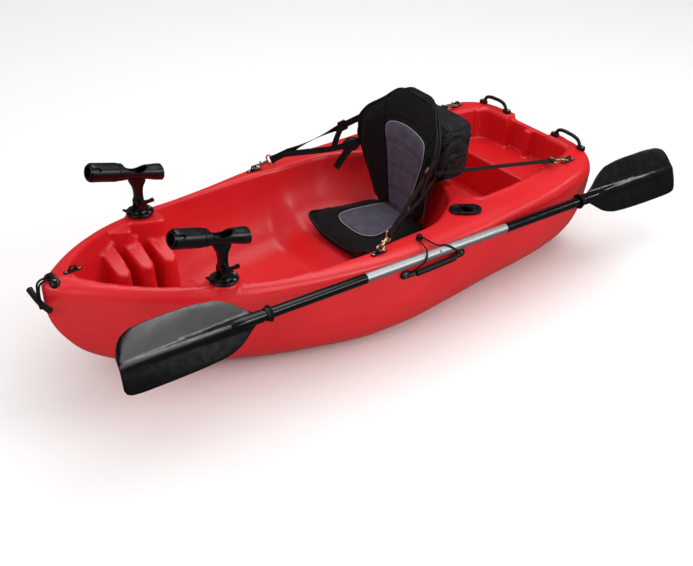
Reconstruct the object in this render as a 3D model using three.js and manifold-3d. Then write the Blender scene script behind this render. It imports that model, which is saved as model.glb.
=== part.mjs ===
// Sit-in fishing kayak: a rotomoulded hull with its seat, rod holders, handles and a two-piece paddle.
// Millimetres, +X to the bow, +Y to port, +Z up. The origin is on the flat of the keel, below the front pad eyes.

import * as THREE from 'three';
import { mergeVertices } from 'three/addons/utils/BufferGeometryUtils.js';
import Module from 'manifold-3d';

const wasm = await Module();
wasm.setup();

// Fits and overruns shared by the whole part
const gap = 0.3;
const overrun = 40;
const runningGap = 0.5;
const flatness = 0.08;

// Hull, outer skin
const bowReach = 915;
const sternReach = 975;
const hullBeam = 804;
const hullDepth = 330;
const bowLift = 64;
const sternLift = 32;
const hullWall = 4;
const deckCrown = 8;
const shoulderRadius = 46;
const channelDepth = 9;

// Cockpit tub
const tubRear = 438;
const tubFrontInset = 93;
const tubFront = bowReach - tubFrontInset;
const tubHalfWidth = 320;
const seatPanHeight = 145;
const tubFloorHeight = 82;
const rimRound = 9;

// Platforms and foot brace ribs moulded into the tub
const platformInset = 398;
const platformRear = tubFront - platformInset;
const platformLength = 116;
const platformInboard = 172;
const platformFlare = 46;
const stepLength = 96;
const stepDrop = 14;
const braceRibThickness = 46;
const braceRibPitch = 84;
const braceInset = 356;
const braceFirstRib = tubFront - braceInset;
const braceTopDrop = 26;
const braceNoseDrop = 66;
const braceReachInboard = 84;
const braceReachStep = 12;
const braceReachOutboard = 330;
const braceDraft = 14;

// Rear tank well
const wellFront = 470;
const wellRearInset = 47;
const wellRear = sternReach - wellRearInset;
const wellHalfWidth = 268;
const wellDepth = 235;
const shelfDrop = 118;
const shelfLength = 128;
const shelfFront = wellRear - shelfLength;
const wellCornerRadius = 34;
const lipWidth = 20;
const lipHeight = 7;
const lipStep = 10;
const recessHalfGap = 14;
const recessWidth = 84;
const recessDepth = 26;
const mountNotchHalfWidth = 96;
const mountNotchDrop = 13;

// Rod holders that swivel on the foredeck
const rodHolderInset = 342;
const rodHolderX = tubFront - rodHolderInset;
const rodHolderY = 246;
const rodPadRadius = 46;
const rodPadHeight = 7;
const rodPadRoot = 15;
const rodBaseRadius = 43;
const rodBaseThickness = 8;
const rodBossRadius = 27;
const rodBossHeight = 14;
const rodSpigotRadius = 10;
const turntableRadius = 24;
const turntableThickness = 6;
const earThickness = 6;
const postThickness = 20;
const pivotHeight = 18;
const postFootRadius = 14;
const postWaist = 26;
const postTopLength = 52;
const pivotPinRadius = 5;
const pinHeadRadius = 9;
const pinHeadLength = 4;
const cradleRise = 15.8;
const cradleLength = 252;
const cradleTailBack = 87;
const cradleTailUp = 76;
const cradleBore = 18.5;
const neckRadius = 22.5;
const cradleTailRadius = 25.5;
const cradleBandRadius = 27;
const collarSeatRadius = 23.5;
const collarWall = 5;
const collarSlotWidth = 14;
const collarSlotLength = 28;
const tiltLeverLength = 41;
const tiltLeverWidth = 13;
const tiltLeverThickness = 7;
const tiltLeverRise = 3;
const tabPinX = 33;
const tabPinZ = 13;
const tabLength = 25;
const tabWidth = 20;
const tabThickness = 4;
const tabPinRadius = 2.5;
const tabHubRadius = 4.5;
const tabLugThickness = 4;
const tabRise = 24;

// Flush rod holders behind the seat
const flushHolderX = 380;
const flushHolderY = 300;
const flushHolderBore = 20;
const flushHolderWall = 2.5;
const flushHolderDepth = 150;
const flushFlangeLength = 104;
const flushFlangeWidth = 62;
const flushFlangeThickness = 5;
const flushLean = 14;
const flushTurn = 35;
const flushRimHeight = 6;

// Pad eyes for the seat straps and the bow
const eyeFrontX = 0;
const eyeFrontY = 342;
const eyeRearInset = 123;
const eyeRearX = sternReach - eyeRearInset;
const eyeRearY = 284;
const eyeBowX = tubFront;
const eyePlateLength = 56;
const eyePlateWidth = 15;
const eyePlateThickness = 3.5;
const eyeWire = 3;
const eyeSpan = 18;
const eyeRise = 17;
const screwRadius = 5;
const screwHead = 1.8;

// Bow toggle
const bowSaddleInset = 29;
const bowSaddleX = bowReach - bowSaddleInset;
const bowSaddleLength = 72;
const bowSaddleWidth = 28;
const bowSaddleHeight = 12;
const saddleClearance = 1.2;
const bowCordRadius = 3.2;
const bowCordSpread = 7;
const toggleLength = 132;
const toggleRadius = 10;
const toggleSag = 10;
const toggleReach = 15;
const toggleX = bowReach + toggleReach;
const toggleZ = 338;

// Stern carry handles
const sternHandleInset = 23;
const sternHandleX = sternReach - sternHandleInset;
const sternHandleInner = 122;
const sternHandleOuter = 246;
const sternHandleRise = 34;
const sternHandleRadius = 6;
const sternBlockLength = 30;
const sternBlockWidth = 20;
const sternBlockHeight = 11;

// Side carry handles and the paddle keeper
const sideHandleFront = 63;
const sideHandleRear = 279;
const sideHandleZ = 258;
const sideDishDepth = 12;
const sideDishHeight = 92;
const sideDishLength = 290;
const sidePlateLength = 38;
const sidePlateWidth = 26;
const sidePlateThickness = 9;
const sideLugReach = 24;
const sideLugWidth = 15;
const sideLugHeight = 18;
const sideGripStandOff = 17;
const sidePinLength = 18;
const sidePinRoot = 1;
const gripRadius = 10;
const gripBore = 4.6;
const gripEndStep = 2;
const gripPinRadius = 4;
const washerRadius = 8;
const washerThickness = 2.5;
const keeperKnobX = 150;
const keeperKnobY = 350;
const keeperKnobRadius = 9;
const keeperKnobHeight = 16;
const keeperFlange = 2;
const keeperFlangeHeight = 3;
const keeperEdge = 1;
const keeperStemRadius = 5;
const keeperStemHeight = 10;
const bungeeRadius = 2.5;
const bungeeSlack = 1.5;
const bungeeInboard = 2;

// Paddle
const paddleX = -168;
const paddleY = 419;
const paddleZ = 312;
const paddleYaw = 1.35;
const paddlePitch = 2.93;
const paddleHalf = 1090;
const shaftRadius = 14.5;
const shaftWall = 1.6;
const ferruleReach = 65;
const ferruleBond = 60;
const shaftJoint = 25;
const sleeveStart = 283;
const sleeveEnd = 646;
const sleeveWall = 1;
const dripRingAt = 629;
const dripRingRadius = 25;
const dripRingCollar = 19;
const dripRingLength = 17;
const dripRingFlare = 1;
const neckStart = 648;
const neckLength = 100;
const neckOuter = 18.5;
const neckEnd = 10;
const bladeStart = 672;
const bladeWidth = 186;
const bladeThickness = 4;
const bladeSpine = 7;
const spineWidth = 16;
const bladeLean = 25;
const bladeCup = 16;
const shaftInBlade = 60;
const buttonRadius = 4;
const buttonProud = 2.5;
const buttonFlange = 5.5;
const buttonLean = 52;

// Seat
const seatBaseRear = 376;
const seatBaseFront = 86;
const seatBaseHalf = 176;
const seatRearRise = 72;
const seatFrontRise = 46;
const seatEdge = 16;
const seatCornerLift = 46;
const seatClearance = 2.5;
const seatBackLength = 405;
const seatBackHalfWidth = 192;
const seatBackThickness = 44;
const seatBackX = -343;
const seatBackLean = 66;
const seatWing = 50;
const cushionCrown = 9;
const channelWidth = 12;
const channelSink = 5;
const bagDepth = 134;
const bagHeight = 190;
const bagHalfWidth = 152;
const bagFoot = 148;
const bagCorner = 34;

// Seat straps
const webbingWidth = 24;
const webbingThickness = 2;
const frontStrapX = -352;
const frontStrapY = 195;
const frontStrapZ = 490;
const rearStrapX = -340;
const rearStrapY = 190.3;
const rearStrapZ = 430;
const strapFold = 46;
const hookWire = 3.2;
const hookLift = 2.2;
const hookRingRadius = 11;
const hookBodyStart = 19;
const hookBodyEnd = 50;
const hookBodyRadius = 6;
const hookEyeWire = 2.6;
const hookEyeLength = 18;
const hookEyeHalf = 20;
const buckleFromSeat = 78;
const buckleLength = 30;
const buckleWidth = 36;
const buckleThickness = 9;

// Drain plug in the transom
const drainZ = 96;
const drainRadius = 14;
const drainHeadRadius = 20;
const drainHeadThickness = 6;
const drainLength = 18;

// Outline of the hull from the stern (0) to the bow (1), as shares of beam, depth and lift:
// station, half beam, flat of the bottom, bilge fullness, keel rise of the depth, sheer of the lift at that end
const hullShares = [
  [0, 0.585, 0.32, 0.74, 0.2, 1],
  [0.005, 0.672, 0.36, 0.72, 0.165, 1],
  [0.017, 0.76, 0.4, 0.7, 0.12, 1],
  [0.04, 0.84, 0.43, 0.66, 0.06, 1],
  [0.09, 0.905, 0.455, 0.62, 0.012, 0.9],
  [0.15, 0.942, 0.49, 0.6, 0, 0.6],
  [0.25, 0.968, 0.53, 0.62, 0, 0.25],
  [0.35, 0.992, 0.585, 0.68, 0, 0.04],
  [0.43, 1, 0.62, 0.78, 0, 0],
  [0.5145, 0.97, 0.63, 0.83, 0, 0],
  [0.6, 0.905, 0.55, 0.76, 0, 0.05],
  [0.68, 0.83, 0.42, 0.66, 0, 0.2],
  [0.76, 0.748, 0.22, 0.52, 0.005, 0.48],
  [0.83, 0.64, 0.12, 0.46, 0.06, 0.7],
  [0.88, 0.522, 0.06, 0.42, 0.16, 0.84],
  [0.92, 0.398, 0.04, 0.4, 0.28, 0.95],
  [0.955, 0.268, 0.03, 0.42, 0.43, 1],
  [0.98, 0.16, 0.02, 0.46, 0.62, 1],
  [0.994, 0.08, 0.012, 0.5, 0.78, 0.96],
  [1, 0.035, 0.01, 0.5, 0.9, 0.9],
];

// Outline of the tub from its rear edge (0) to its bow end (1):
// station, half width of the rim, of the floor (both of the tub's), floor height between the floor (0) and the rim (1)
const tubShares = [
  [0, 0.1, 0.05, 0.9],
  [0.012, 0.4, 0.16, 0.5],
  [0.028, 0.56, 0.3, 0.14],
  [0.048, 0.69, 0.44, 0.01],
  [0.1, 0.84, 0.56, 0],
  [0.14, 0.925, 0.6, 0],
  [0.19, 0.958, 0.66, 0],
  [0.28, 0.965, 0.7, 0],
  [0.35, 1, 0.735, 0],
  [0.45, 0.99, 0.72, 0],
  [0.57, 0.95, 0.64, 0],
  [0.68, 0.865, 0.5, 0],
  [0.77, 0.75, 0.4, 0],
  [0.86, 0.585, 0.28, 0.06],
  [0.92, 0.42, 0.18, 0.22],
  [0.965, 0.26, 0.1, 0.5],
  [1, 0.08, 0.03, 0.93],
];
// Where the seat pan ends and the lower floor starts, as shares of the tub's length
const seatPanEndShares = [0.265, 0.345];

// Half outline of the tank well from its front (0) to its rear (1): station, half width
const wellShares = [
  [0, 0.985],
  [0.35, 1],
  [0.6, 0.965],
  [0.8, 0.9],
  [1, 0.82],
];

// Rod holder cradle cut-out seen from the side, from the tail (0) to the nose (1): station, height of the cut edge
const saddleShares = [
  [0.2, 1.2],
  [0.25, 0.7],
  [0.31, 0.28],
  [0.39, 0.12],
  [0.47, 0.3],
  [0.53, 0.72],
  [0.57, 1.2],
];

// Blade outline from the neck (0) to the tip (1): station, half width above and below the shaft line
const bladeShares = [
  [0, 0.2, 0.2],
  [0.06, 0.38, 0.4],
  [0.14, 0.66, 0.64],
  [0.26, 0.9, 0.8],
  [0.45, 0.99, 0.86],
  [0.68, 1, 0.88],
  [0.84, 0.96, 0.88],
  [0.93, 0.82, 0.86],
  [0.98, 0.56, 0.8],
  [1, 0.26, 0.66],
];

// Rod holder cradle from the tail (0) to the seat of the collar (1): station, share from neck radius to tail radius
const cradleShares = [
  [0, 1],
  [0.16, 0.95],
  [0.36, 0.1],
  [0.7, 0],
  [0.88, 0.6],
];
const cradleBandShares = [0.57, 0.612];

// Seat back outline from the bottom (0) to the top (1): station, half width, how far it leans back
const seatBackShares = [
  [0, 0.5, 0],
  [0.06, 0.58, 0],
  [0.2, 0.7, 0.02],
  [0.4, 0.87, 0.08],
  [0.58, 0.985, 0.17],
  [0.7, 1, 0.3],
  [0.79, 0.93, 0.47],
  [0.87, 0.74, 0.66],
  [0.95, 0.52, 0.88],
  [1, 0.28, 1],
];
// Seat base outline from the rear (0) to the front (1): station, half width
const seatBaseShares = [
  [0, 0.6],
  [0.05, 0.72],
  [0.16, 0.82],
  [0.4, 0.9],
  [0.7, 0.98],
  [0.86, 1],
  [0.95, 0.94],
  [1, 0.82],
];
// Sewn channels of the seat back and base, as shares of their length
const backChannelShares = [0.26, 0.45, 0.63];
const baseChannelShares = [0.34, 0.64];

// Materials
const plastic = (color, roughness) => new THREE.MeshStandardMaterial({ color, roughness, metalness: 0 });
const metal = (color, roughness) => new THREE.MeshStandardMaterial({ color, roughness, metalness: 1 });
const redPolyethylene = plastic(0xd2282c, 0.38);
const blackPlastic = plastic(0x141416, 0.42);
const blackNylon = plastic(0x17171a, 0.36);
const blackFabric = plastic(0x1a1a1d, 0.9);
const greyFabric = plastic(0x34333c, 0.85);
const webbing = plastic(0x151517, 0.8);
const brass = metal(0xb98a3c, 0.3);
const aluminium = metal(0xc9ccd0, 0.32);
const rubber = plastic(0x101011, 0.7);

const degrees = THREE.MathUtils.degToRad;
const mix = (a, b, t) => a + (b - a) * t;

// A smooth curve through the rows of a table: the first column is the place, and no value overshoots its rows
function readTable(table, column, place) {
  const last = table.length - 1;
  const slope = (i) => (table[i + 1][column] - table[i][column]) / (table[i + 1][0] - table[i][0]);
  const tangent = (i) => {
    if (i === 0) return slope(0);
    if (i === last) return slope(last - 1);
    const [before, after] = [slope(i - 1), slope(i)];
    return before * after <= 0 ? 0 : (2 * before * after) / (before + after);
  };
  if (place <= table[0][0]) return table[0][column];
  if (place >= table[last][0]) return table[last][column];
  let i = 0;
  while (place > table[i + 1][0]) i += 1;
  const span = table[i + 1][0] - table[i][0];
  const t = (place - table[i][0]) / span;
  const [a, b] = [table[i][column], table[i + 1][column]];
  const [ta, tb] = [tangent(i) * span, tangent(i + 1) * span];
  return a + t * (ta + t * (3 * (b - a) - 2 * ta - tb + t * (ta + tb - 2 * (b - a))));
}

// Joins rings of points, all of one count, into a closed skin. The end rings are closed by a fan from their middle.
function loft(rings, ringCloses = false) {
  const count = rings[0].length;
  const positions = rings.flat().flatMap((p) => [p.x, p.y, p.z]);
  const index = [];
  const rows = ringCloses ? rings.length : rings.length - 1;
  for (let i = 0; i < rows; i += 1) {
    for (let j = 0; j < count; j += 1) {
      const a = i * count + j;
      const b = i * count + ((j + 1) % count);
      const c = ((i + 1) % rings.length) * count + j;
      const d = ((i + 1) % rings.length) * count + ((j + 1) % count);
      index.push(a, b, d, a, d, c);
    }
  }
  if (!ringCloses) {
    [0, rings.length - 1].forEach((row) => {
      const middle = new THREE.Vector3();
      rings[row].forEach((p) => middle.addScaledVector(p, 1 / count));
      const centre = positions.length / 3;
      positions.push(middle.x, middle.y, middle.z);
      for (let j = 0; j < count; j += 1) {
        const a = row * count + j;
        const b = row * count + ((j + 1) % count);
        index.push(...(row === 0 ? [centre, b, a] : [centre, a, b]));
      }
    });
  }
  const geometry = new THREE.BufferGeometry();
  geometry.setAttribute('position', new THREE.Float32BufferAttribute(positions, 3));
  geometry.setIndex(index);
  return geometry;
}

// Volume inside an indexed skin, negative when its faces point inwards
function signedVolume(position, index) {
  const [a, b, c] = [new THREE.Vector3(), new THREE.Vector3(), new THREE.Vector3()];
  let volume = 0;
  for (let i = 0; i < index.length; i += 3) {
    a.fromArray(position, 3 * index[i]);
    b.fromArray(position, 3 * index[i + 1]);
    c.fromArray(position, 3 * index[i + 2]);
    volume += a.dot(b.cross(c)) / 6;
  }
  return volume;
}

// A three.js geometry as a solid that can be joined and cut
function solid(geometry, matrix = new THREE.Matrix4()) {
  const bare = geometry.clone();
  bare.deleteAttribute('normal');
  bare.deleteAttribute('uv');
  bare.applyMatrix4(matrix);
  const merged = mergeVertices(bare, gap / 1000);
  const vertProperties = new Float32Array(merged.attributes.position.array);
  const triVerts = new Uint32Array(merged.index.array);
  if (signedVolume(vertProperties, triVerts) < 0) {
    for (let i = 0; i < triVerts.length; i += 3) {
      [triVerts[i + 1], triVerts[i + 2]] = [triVerts[i + 2], triVerts[i + 1]];
    }
  }
  return new wasm.Manifold(new wasm.Mesh({ numProp: 3, vertProperties, triVerts }));
}

const union = (solids) => solids.reduce((whole, piece) => whole.add(piece));

// A solid as a geometry for its mesh
function surface(body) {
  const { vertProperties, triVerts } = body.getMesh();
  const geometry = new THREE.BufferGeometry();
  geometry.setAttribute('position', new THREE.Float32BufferAttribute(vertProperties, 3));
  geometry.setIndex(Array.from(triVerts));
  return geometry;
}

const part = new THREE.Group();

// Adds a solid to the part as a named mesh. Places and turns come from the matrix it was made with.
function place(name, body, material) {
  const mesh = new THREE.Mesh(surface(body.simplify(flatness)), material);
  mesh.name = name;
  part.add(mesh);
  return mesh;
}

// Matrix of a move after turns about X, Y and Z in degrees
function pose(x, y, z, turnX = 0, turnY = 0, turnZ = 0) {
  const turn = new THREE.Euler(degrees(turnX), degrees(turnY), degrees(turnZ), 'ZYX');
  return new THREE.Matrix4().makeRotationFromEuler(turn).setPosition(x, y, z);
}

// Basic solids with their own place
const box = (lx, ly, lz, m) => solid(new THREE.BoxGeometry(lx, ly, lz), m);
const standing = pose(0, 0, 0, 90);
const lyingX = pose(0, 0, 0, 0, 0, -90);
const lyingZ = pose(0, 0, 0, 0, 90);
const cylinder = (r, height, sides, m, rTop = r) =>
  solid(new THREE.CylinderGeometry(rTop, r, height, sides).applyMatrix4(standing), m);
const rodAlongY = (r, length, sides, m) => solid(new THREE.CylinderGeometry(r, r, length, sides), m);
const rodAlongX = (r, length, sides, m) =>
  solid(new THREE.CylinderGeometry(r, r, length, sides).applyMatrix4(lyingX), m);

// A revolve about Z of a closed profile of [radius, height] points
const revolve = (profile, sides, m) => {
  const points = [...profile, profile[0]].map(([r, h]) => new THREE.Vector2(r, h));
  return solid(new THREE.LatheGeometry(points, sides).applyMatrix4(standing), m);
};

// A flat outline of [x, y] points, extruded upwards from z = 0
function extrude(outline, height, m) {
  const shape = new THREE.Shape(outline.map(([x, y]) => new THREE.Vector2(x, y)));
  return solid(new THREE.ExtrudeGeometry(shape, { depth: height, bevelEnabled: false, steps: 1 }), m);
}

// A round bar along a smooth curve
function bar(points, radius, sides, steps, m) {
  const curve = new THREE.CatmullRomCurve3(points.map((p) => new THREE.Vector3(...p)), false, 'centripetal');
  const ring = Array.from({ length: sides }, (_, i) => {
    const angle = (2 * Math.PI * i) / sides;
    return new THREE.Vector2(radius * Math.cos(angle), radius * Math.sin(angle));
  });
  const options = { steps, bevelEnabled: false, extrudePath: curve };
  return solid(new THREE.ExtrudeGeometry(new THREE.Shape(ring), options), m);
}

// A flat band through a row of points, with its width held in one direction
function band(points, width, thickness, across, m) {
  const places = points.map((p) => new THREE.Vector3(...p));
  const side = new THREE.Vector3(...across).normalize();
  const last = places.length - 1;
  const rings = places.map((at, i) => {
    const tangent = places[Math.min(i + 1, last)].clone().sub(places[Math.max(i - 1, 0)]).normalize();
    const wide = side.clone().addScaledVector(tangent, -side.dot(tangent)).normalize();
    const thick = new THREE.Vector3().crossVectors(tangent, wide);
    return [[-1, -1], [1, -1], [1, 1], [-1, 1]].map(([u, v]) =>
      at.clone().addScaledVector(wide, (u * width) / 2).addScaledVector(thick, (v * thickness) / 2));
  });
  return solid(loft(rings), m);
}

// Rounded rectangle or stadium outline, centred on the origin
function roundedOutline(length, width, radius, arcSteps) {
  const corners = [[1, 1, 0], [-1, 1, 90], [-1, -1, 180], [1, -1, 270]];
  return corners.flatMap(([sx, sy, start]) =>
    Array.from({ length: arcSteps + 1 }, (_, i) => {
      const angle = degrees(start + (90 * i) / arcSteps);
      const x = sx * (length / 2 - radius) + radius * Math.cos(angle);
      const y = sy * (width / 2 - radius) + radius * Math.sin(angle);
      return [x, y];
    }));
}

// Hull form. A place along the hull is a share from the stern (0) to the bow (1).
const hullLength = bowReach + sternReach;
const shareAt = (x) => (x + sternReach) / hullLength;
const halfBeamAt = (s) => (readTable(hullShares, 1, s) * hullBeam) / 2;
const keelAt = (s) => readTable(hullShares, 4, s) * hullDepth;
const rimAt = (s) => hullDepth + readTable(hullShares, 5, s) * (s > shareAt(0) ? bowLift : sternLift);
const channelShareRange = [0.13, 0.7];
const bilgeSteps = 5;
const cavitySteps = 5;
const shoulderSteps = 2;
const crownShares = [0.55, 0.7];
const bowInsetShares = [0.76, 0.9];
const bowInsetGrowth = 1.7;

// Half section from the keel to the middle of the deck, drawn in by an inset
function halfSection(s, inset) {
  const full = halfBeamAt(s);
  const bowInset = bowInsetGrowth * inset * THREE.MathUtils.smoothstep(s, ...bowInsetShares);
  const half = Math.max(full - inset - bowInset, full / 2);
  const flat = Math.max(readTable(hullShares, 2, s) * full - inset / 2, inset === 0 ? 0.01 * full : 0.1 * full);
  const fullness = readTable(hullShares, 3, s);
  const keel = keelAt(s) + inset * (1 + 2 * readTable(hullShares, 4, s)) + bowInset;
  const rim = rimAt(s) - inset;
  const shoulder = Math.min(shoulderRadius, half * 0.6);
  const [from, to] = channelShareRange;
  const fade = Math.sin(Math.PI * THREE.MathUtils.clamp((s - from) / (to - from), 0, 1)) ** 0.5;
  const channel = inset === 0 ? channelDepth * fade : 0;
  const floor = inset === 0 ? keel : keel + channelDepth * fade;
  const points = [[0, floor]];
  if (inset === 0) {
    points.push([0.36 * flat, floor], [0.46 * flat, keel + channel], [0.62 * flat, keel + channel], [0.72 * flat, floor]);
  }
  const height = rim - shoulder - keel;
  const bilge = new THREE.CubicBezierCurve(
    new THREE.Vector2(flat, floor),
    new THREE.Vector2(mix(flat, half, 0.1 + 0.75 * fullness), keel),
    new THREE.Vector2(mix(flat, half, 0.68 + 0.3 * fullness), keel + 0.42 * height),
    new THREE.Vector2(half, keel + height));
  bilge.getPoints(inset === 0 ? bilgeSteps : cavitySteps).forEach((p) => points.push([p.x, p.y]));
  const round = new THREE.QuadraticBezierCurve(
    new THREE.Vector2(half, rim - shoulder),
    new THREE.Vector2(half - 0.06 * shoulder, rim - 0.06 * shoulder),
    new THREE.Vector2(half - shoulder, rim));
  round.getPoints(shoulderSteps).slice(1).forEach((p) => points.push([p.x, p.y]));
  const flatDeck = half - shoulder;
  points.push([flatDeck * crownShares[0], rim + deckCrown * crownShares[1]], [0, rim + deckCrown]);
  return points;
}

// Full ring of points of a section, from the keel up the port side and down the other
function sectionRing(s, inset) {
  const half = halfSection(s, inset);
  const x = s * hullLength - sternReach;
  const port = half.map(([y, z]) => new THREE.Vector3(x, y, z));
  const starboard = half.slice(1, -1).reverse().map(([y, z]) => new THREE.Vector3(x, -y, z));
  return [...port, ...starboard];
}

// Stations crowd towards both ends, where the form turns fastest
const crowded = (count, from, to) =>
  Array.from({ length: count + 1 }, (_, i) => mix(from, to, (1 - Math.cos((Math.PI * i) / count)) / 2));
const hullStations = crowded(28, 0, 1);
const outerSkin = solid(loft(hullStations.map((s) => sectionRing(s, 0))));
const cavityStations = hullStations.filter((_, i) => i % 2 === 1).slice(0, -1);
const cavitySkin = solid(loft(cavityStations.map((s) => sectionRing(s, hullWall))));

// Cockpit tub, made larger by a margin for the wall behind it
const tubLength = tubRear + tubFront;
const tubStations = 20;
const tubExtraShares = [0.006, 0.02, 0.035, 0.27, 0.33, 0.98];
const tubWallSteps = 5;
function tubRing(t, margin) {
  const x = mix(-tubRear - margin, tubFront + margin, t);
  const s = shareAt(x);
  const rim = rimAt(s);
  const widest = readTable(tubShares, 1, t) * tubHalfWidth + margin;
  const floorHalf = readTable(tubShares, 2, t) * tubHalfWidth;
  const panStep = THREE.MathUtils.smoothstep(t, ...seatPanEndShares);
  const base = mix(seatPanHeight, tubFloorHeight, panStep);
  const floor = mix(base, rim, readTable(tubShares, 3, t)) - margin;
  const wall = new THREE.CubicBezierCurve(
    new THREE.Vector2(0.72 * floorHalf, floor),
    new THREE.Vector2(floorHalf + 0.25 * (widest - floorHalf), floor),
    new THREE.Vector2(widest - 0.25 * (widest - floorHalf), mix(floor, rim, 0.35)),
    new THREE.Vector2(widest - rimRound / 2, rim - rimRound));
  const half = [[0, floor], ...wall.getPoints(tubWallSteps).map((p) => [p.x, p.y])];
  half.push([widest + rimRound / 2, rim + rimRound / 3], [widest + rimRound, rim + overrun]);
  half.push([0, rim + overrun]);
  const port = half.map(([y, z]) => new THREE.Vector3(x, y, z));
  const starboard = half.slice(1, -1).reverse().map(([y, z]) => new THREE.Vector3(x, -y, z));
  return [...port, ...starboard];
}
const tub = (margin) => {
  const stations = Array.from({ length: tubStations + 1 }, (_, i) => i / tubStations);
  const places = [...tubExtraShares, ...stations].sort((a, b) => a - b);
  return solid(loft(places.map((t) => tubRing(t, margin))));
};

// Platforms that stand in from the rim: the first carries the rod holder, the second is one step lower
function platform(rear, length, drop, side, margin) {
  const front = rear + length - margin;
  const back = rear + margin;
  const inboard = platformInboard + margin;
  const round = platformFlare / 3;
  const outline = [[back, braceReachOutboard], [back, inboard + round], [back + round, inboard]];
  outline.push([front, inboard + platformFlare], [front, braceReachOutboard]);
  const top = rimAt(shareAt(rear + length / 2)) - drop - margin;
  return extrude(outline.map(([x, y]) => [x, side * y]), top);
}

// Foot brace ribs: three on each side, rounded at the inboard end, with tops that fall away from the rim
const braceRibs = [0, 1, 2];
const braceFlareShare = 1.35;
function braceRib(number, side, margin) {
  const x = braceFirstRib + number * braceRibPitch;
  const inboard = braceReachInboard - number * braceReachStep + margin;
  const half = braceRibThickness / 2 - margin;
  const nose = Array.from({ length: 5 }, (_, i) => {
    const angle = Math.PI * (i / 4);
    return [half * Math.cos(angle), inboard + half * (1 - Math.sin(angle))];
  });
  const outline = [...nose, [-braceFlareShare * half, braceReachOutboard], [braceFlareShare * half, braceReachOutboard]];
  const rim = rimAt(shareAt(x));
  const level = (y) => {
    const inward = (braceReachOutboard - y) / (braceReachOutboard - inboard);
    return rim - braceTopDrop - braceNoseDrop * inward ** 1.5 - margin;
  };
  const ring = (spread, height) =>
    outline.map(([u, y]) => new THREE.Vector3(x + u * (1 + spread / half), side * (y - spread), height(y)));
  return solid(loft([ring(braceDraft, () => 0), ring(0, level)]));
}

// Tank well outline: straight front, rounded corners, sides that draw in towards the transom
function wellOutline(front, rear, margin) {
  const length = wellRear - wellFront;
  const steps = 7;
  const places = Array.from({ length: steps + 1 }, (_, i) => mix(front, rear, i / steps));
  const halfAt = (x) => readTable(wellShares, 1, (x - wellFront) / length) * wellHalfWidth + margin;
  const radius = wellCornerRadius;
  const frontX = front - margin;
  const rearX = rear + margin;
  const corner = [0, 0.3, 0.7, 1].map((t) => degrees(90 * t));
  const frontCorner = corner.map((a) => [frontX + radius * (1 - Math.cos(a)), halfAt(front) - radius * (1 - Math.sin(a))]);
  const rearCorner = corner.map((a) => [rearX - radius * (1 - Math.sin(a)), halfAt(rear) - radius * (1 - Math.cos(a))]);
  const side = places.filter((x) => x > frontX + radius && x < rearX - radius).map((x) => [x, halfAt(x)]);
  const half = [...frontCorner, ...side, ...rearCorner];
  const mirrored = half.map(([x, y]) => [x, -y]).reverse();
  return [...half, ...mirrored].map(([x, y]) => [-x, y]);
}
const wellTop = hullDepth + sternLift + overrun;
const deepFloor = hullDepth - wellDepth;
const shelfFloor = hullDepth + sternLift - shelfDrop;
function tankWell(margin) {
  const deepOutline = wellOutline(wellFront, shelfFront, margin);
  const deep = extrude(deepOutline, wellTop - deepFloor + margin, pose(0, 0, deepFloor - margin));
  const wholeOutline = wellOutline(wellFront, wellRear, margin);
  const whole = extrude(wholeOutline, wellTop - shelfFloor + margin, pose(0, 0, shelfFloor - margin));
  return deep.add(whole);
}

// Two upright recesses in the inner face of the transom, either side of the middle
const recess = (side, margin) =>
  box(recessDepth + overrun, recessWidth + 2 * margin, shelfDrop + overrun,
    pose(-wellRear - recessDepth / 2 + overrun / 2 - margin, side * (recessHalfGap + recessWidth / 2),
      shelfFloor + (shelfDrop + overrun) / 2 - margin));
const mountNotch = (margin) =>
  box(2 * overrun + recessDepth, 2 * (mountNotchHalfWidth + margin), 2 * overrun,
    pose(-sternReach, 0, hullDepth + sternLift - mountNotchDrop - margin + overrun));

// Shallow dish in each side, where the carry handle lies
const dishFloorY = hullBeam / 2 - sideDishDepth;
const sideHandleMid = -(sideHandleFront + sideHandleRear) / 2;
function sideDish(side, margin) {
  const outline = roundedOutline(sideDishLength + 2 * margin, sideDishHeight + 2 * margin, sideDishHeight / 2, 6);
  const turned = pose(sideHandleMid, side * (dishFloorY - margin), sideHandleZ, -90 * side);
  return extrude(outline, overrun, turned);
}

// Raised pads under the rod holders and the raised lip round the tank well
const rodDeck = rimAt(shareAt(rodHolderX));
const rodPad = (side) =>
  cylinder(rodPadRadius, rodPadHeight + rodPadRoot, 24,
    pose(rodHolderX, side * rodHolderY, rodDeck + (rodPadHeight - rodPadRoot) / 2), rodBaseRadius + gap);
const followRim = (body) =>
  body.warp((point) => { point[2] += rimAt(shareAt(point[0])); });
const lip = followRim(extrude(wellOutline(wellFront, shelfFront - lipWidth, lipWidth), overrun,
  pose(0, 0, lipHeight - overrun)));
const lipLedge = (margin) =>
  followRim(extrude(wellOutline(wellFront, wellRear, lipStep + margin), overrun,
    pose(0, 0, lipHeight - lipStep - margin)));

// Flush rod holder place: a tube that leans back and outboard from the deck
const flushDeck = rimAt(shareAt(-flushHolderX));
const flushPose = (side) =>
  new THREE.Matrix4().makeTranslation(-flushHolderX, side * flushHolderY, flushDeck)
    .multiply(pose(0, 0, 0, 0, 0, side * -flushTurn))
    .multiply(pose(0, 0, 0, 0, -flushLean, 0));
const flushHole = (side) =>
  cylinder(flushHolderBore + flushHolderWall + 2 * gap, 2 * overrun, 16, flushPose(side));

const drainHole = rodAlongX(drainRadius + gap, 3 * hullWall + overrun / 2, 20, pose(-sternReach, 0, drainZ));

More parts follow.
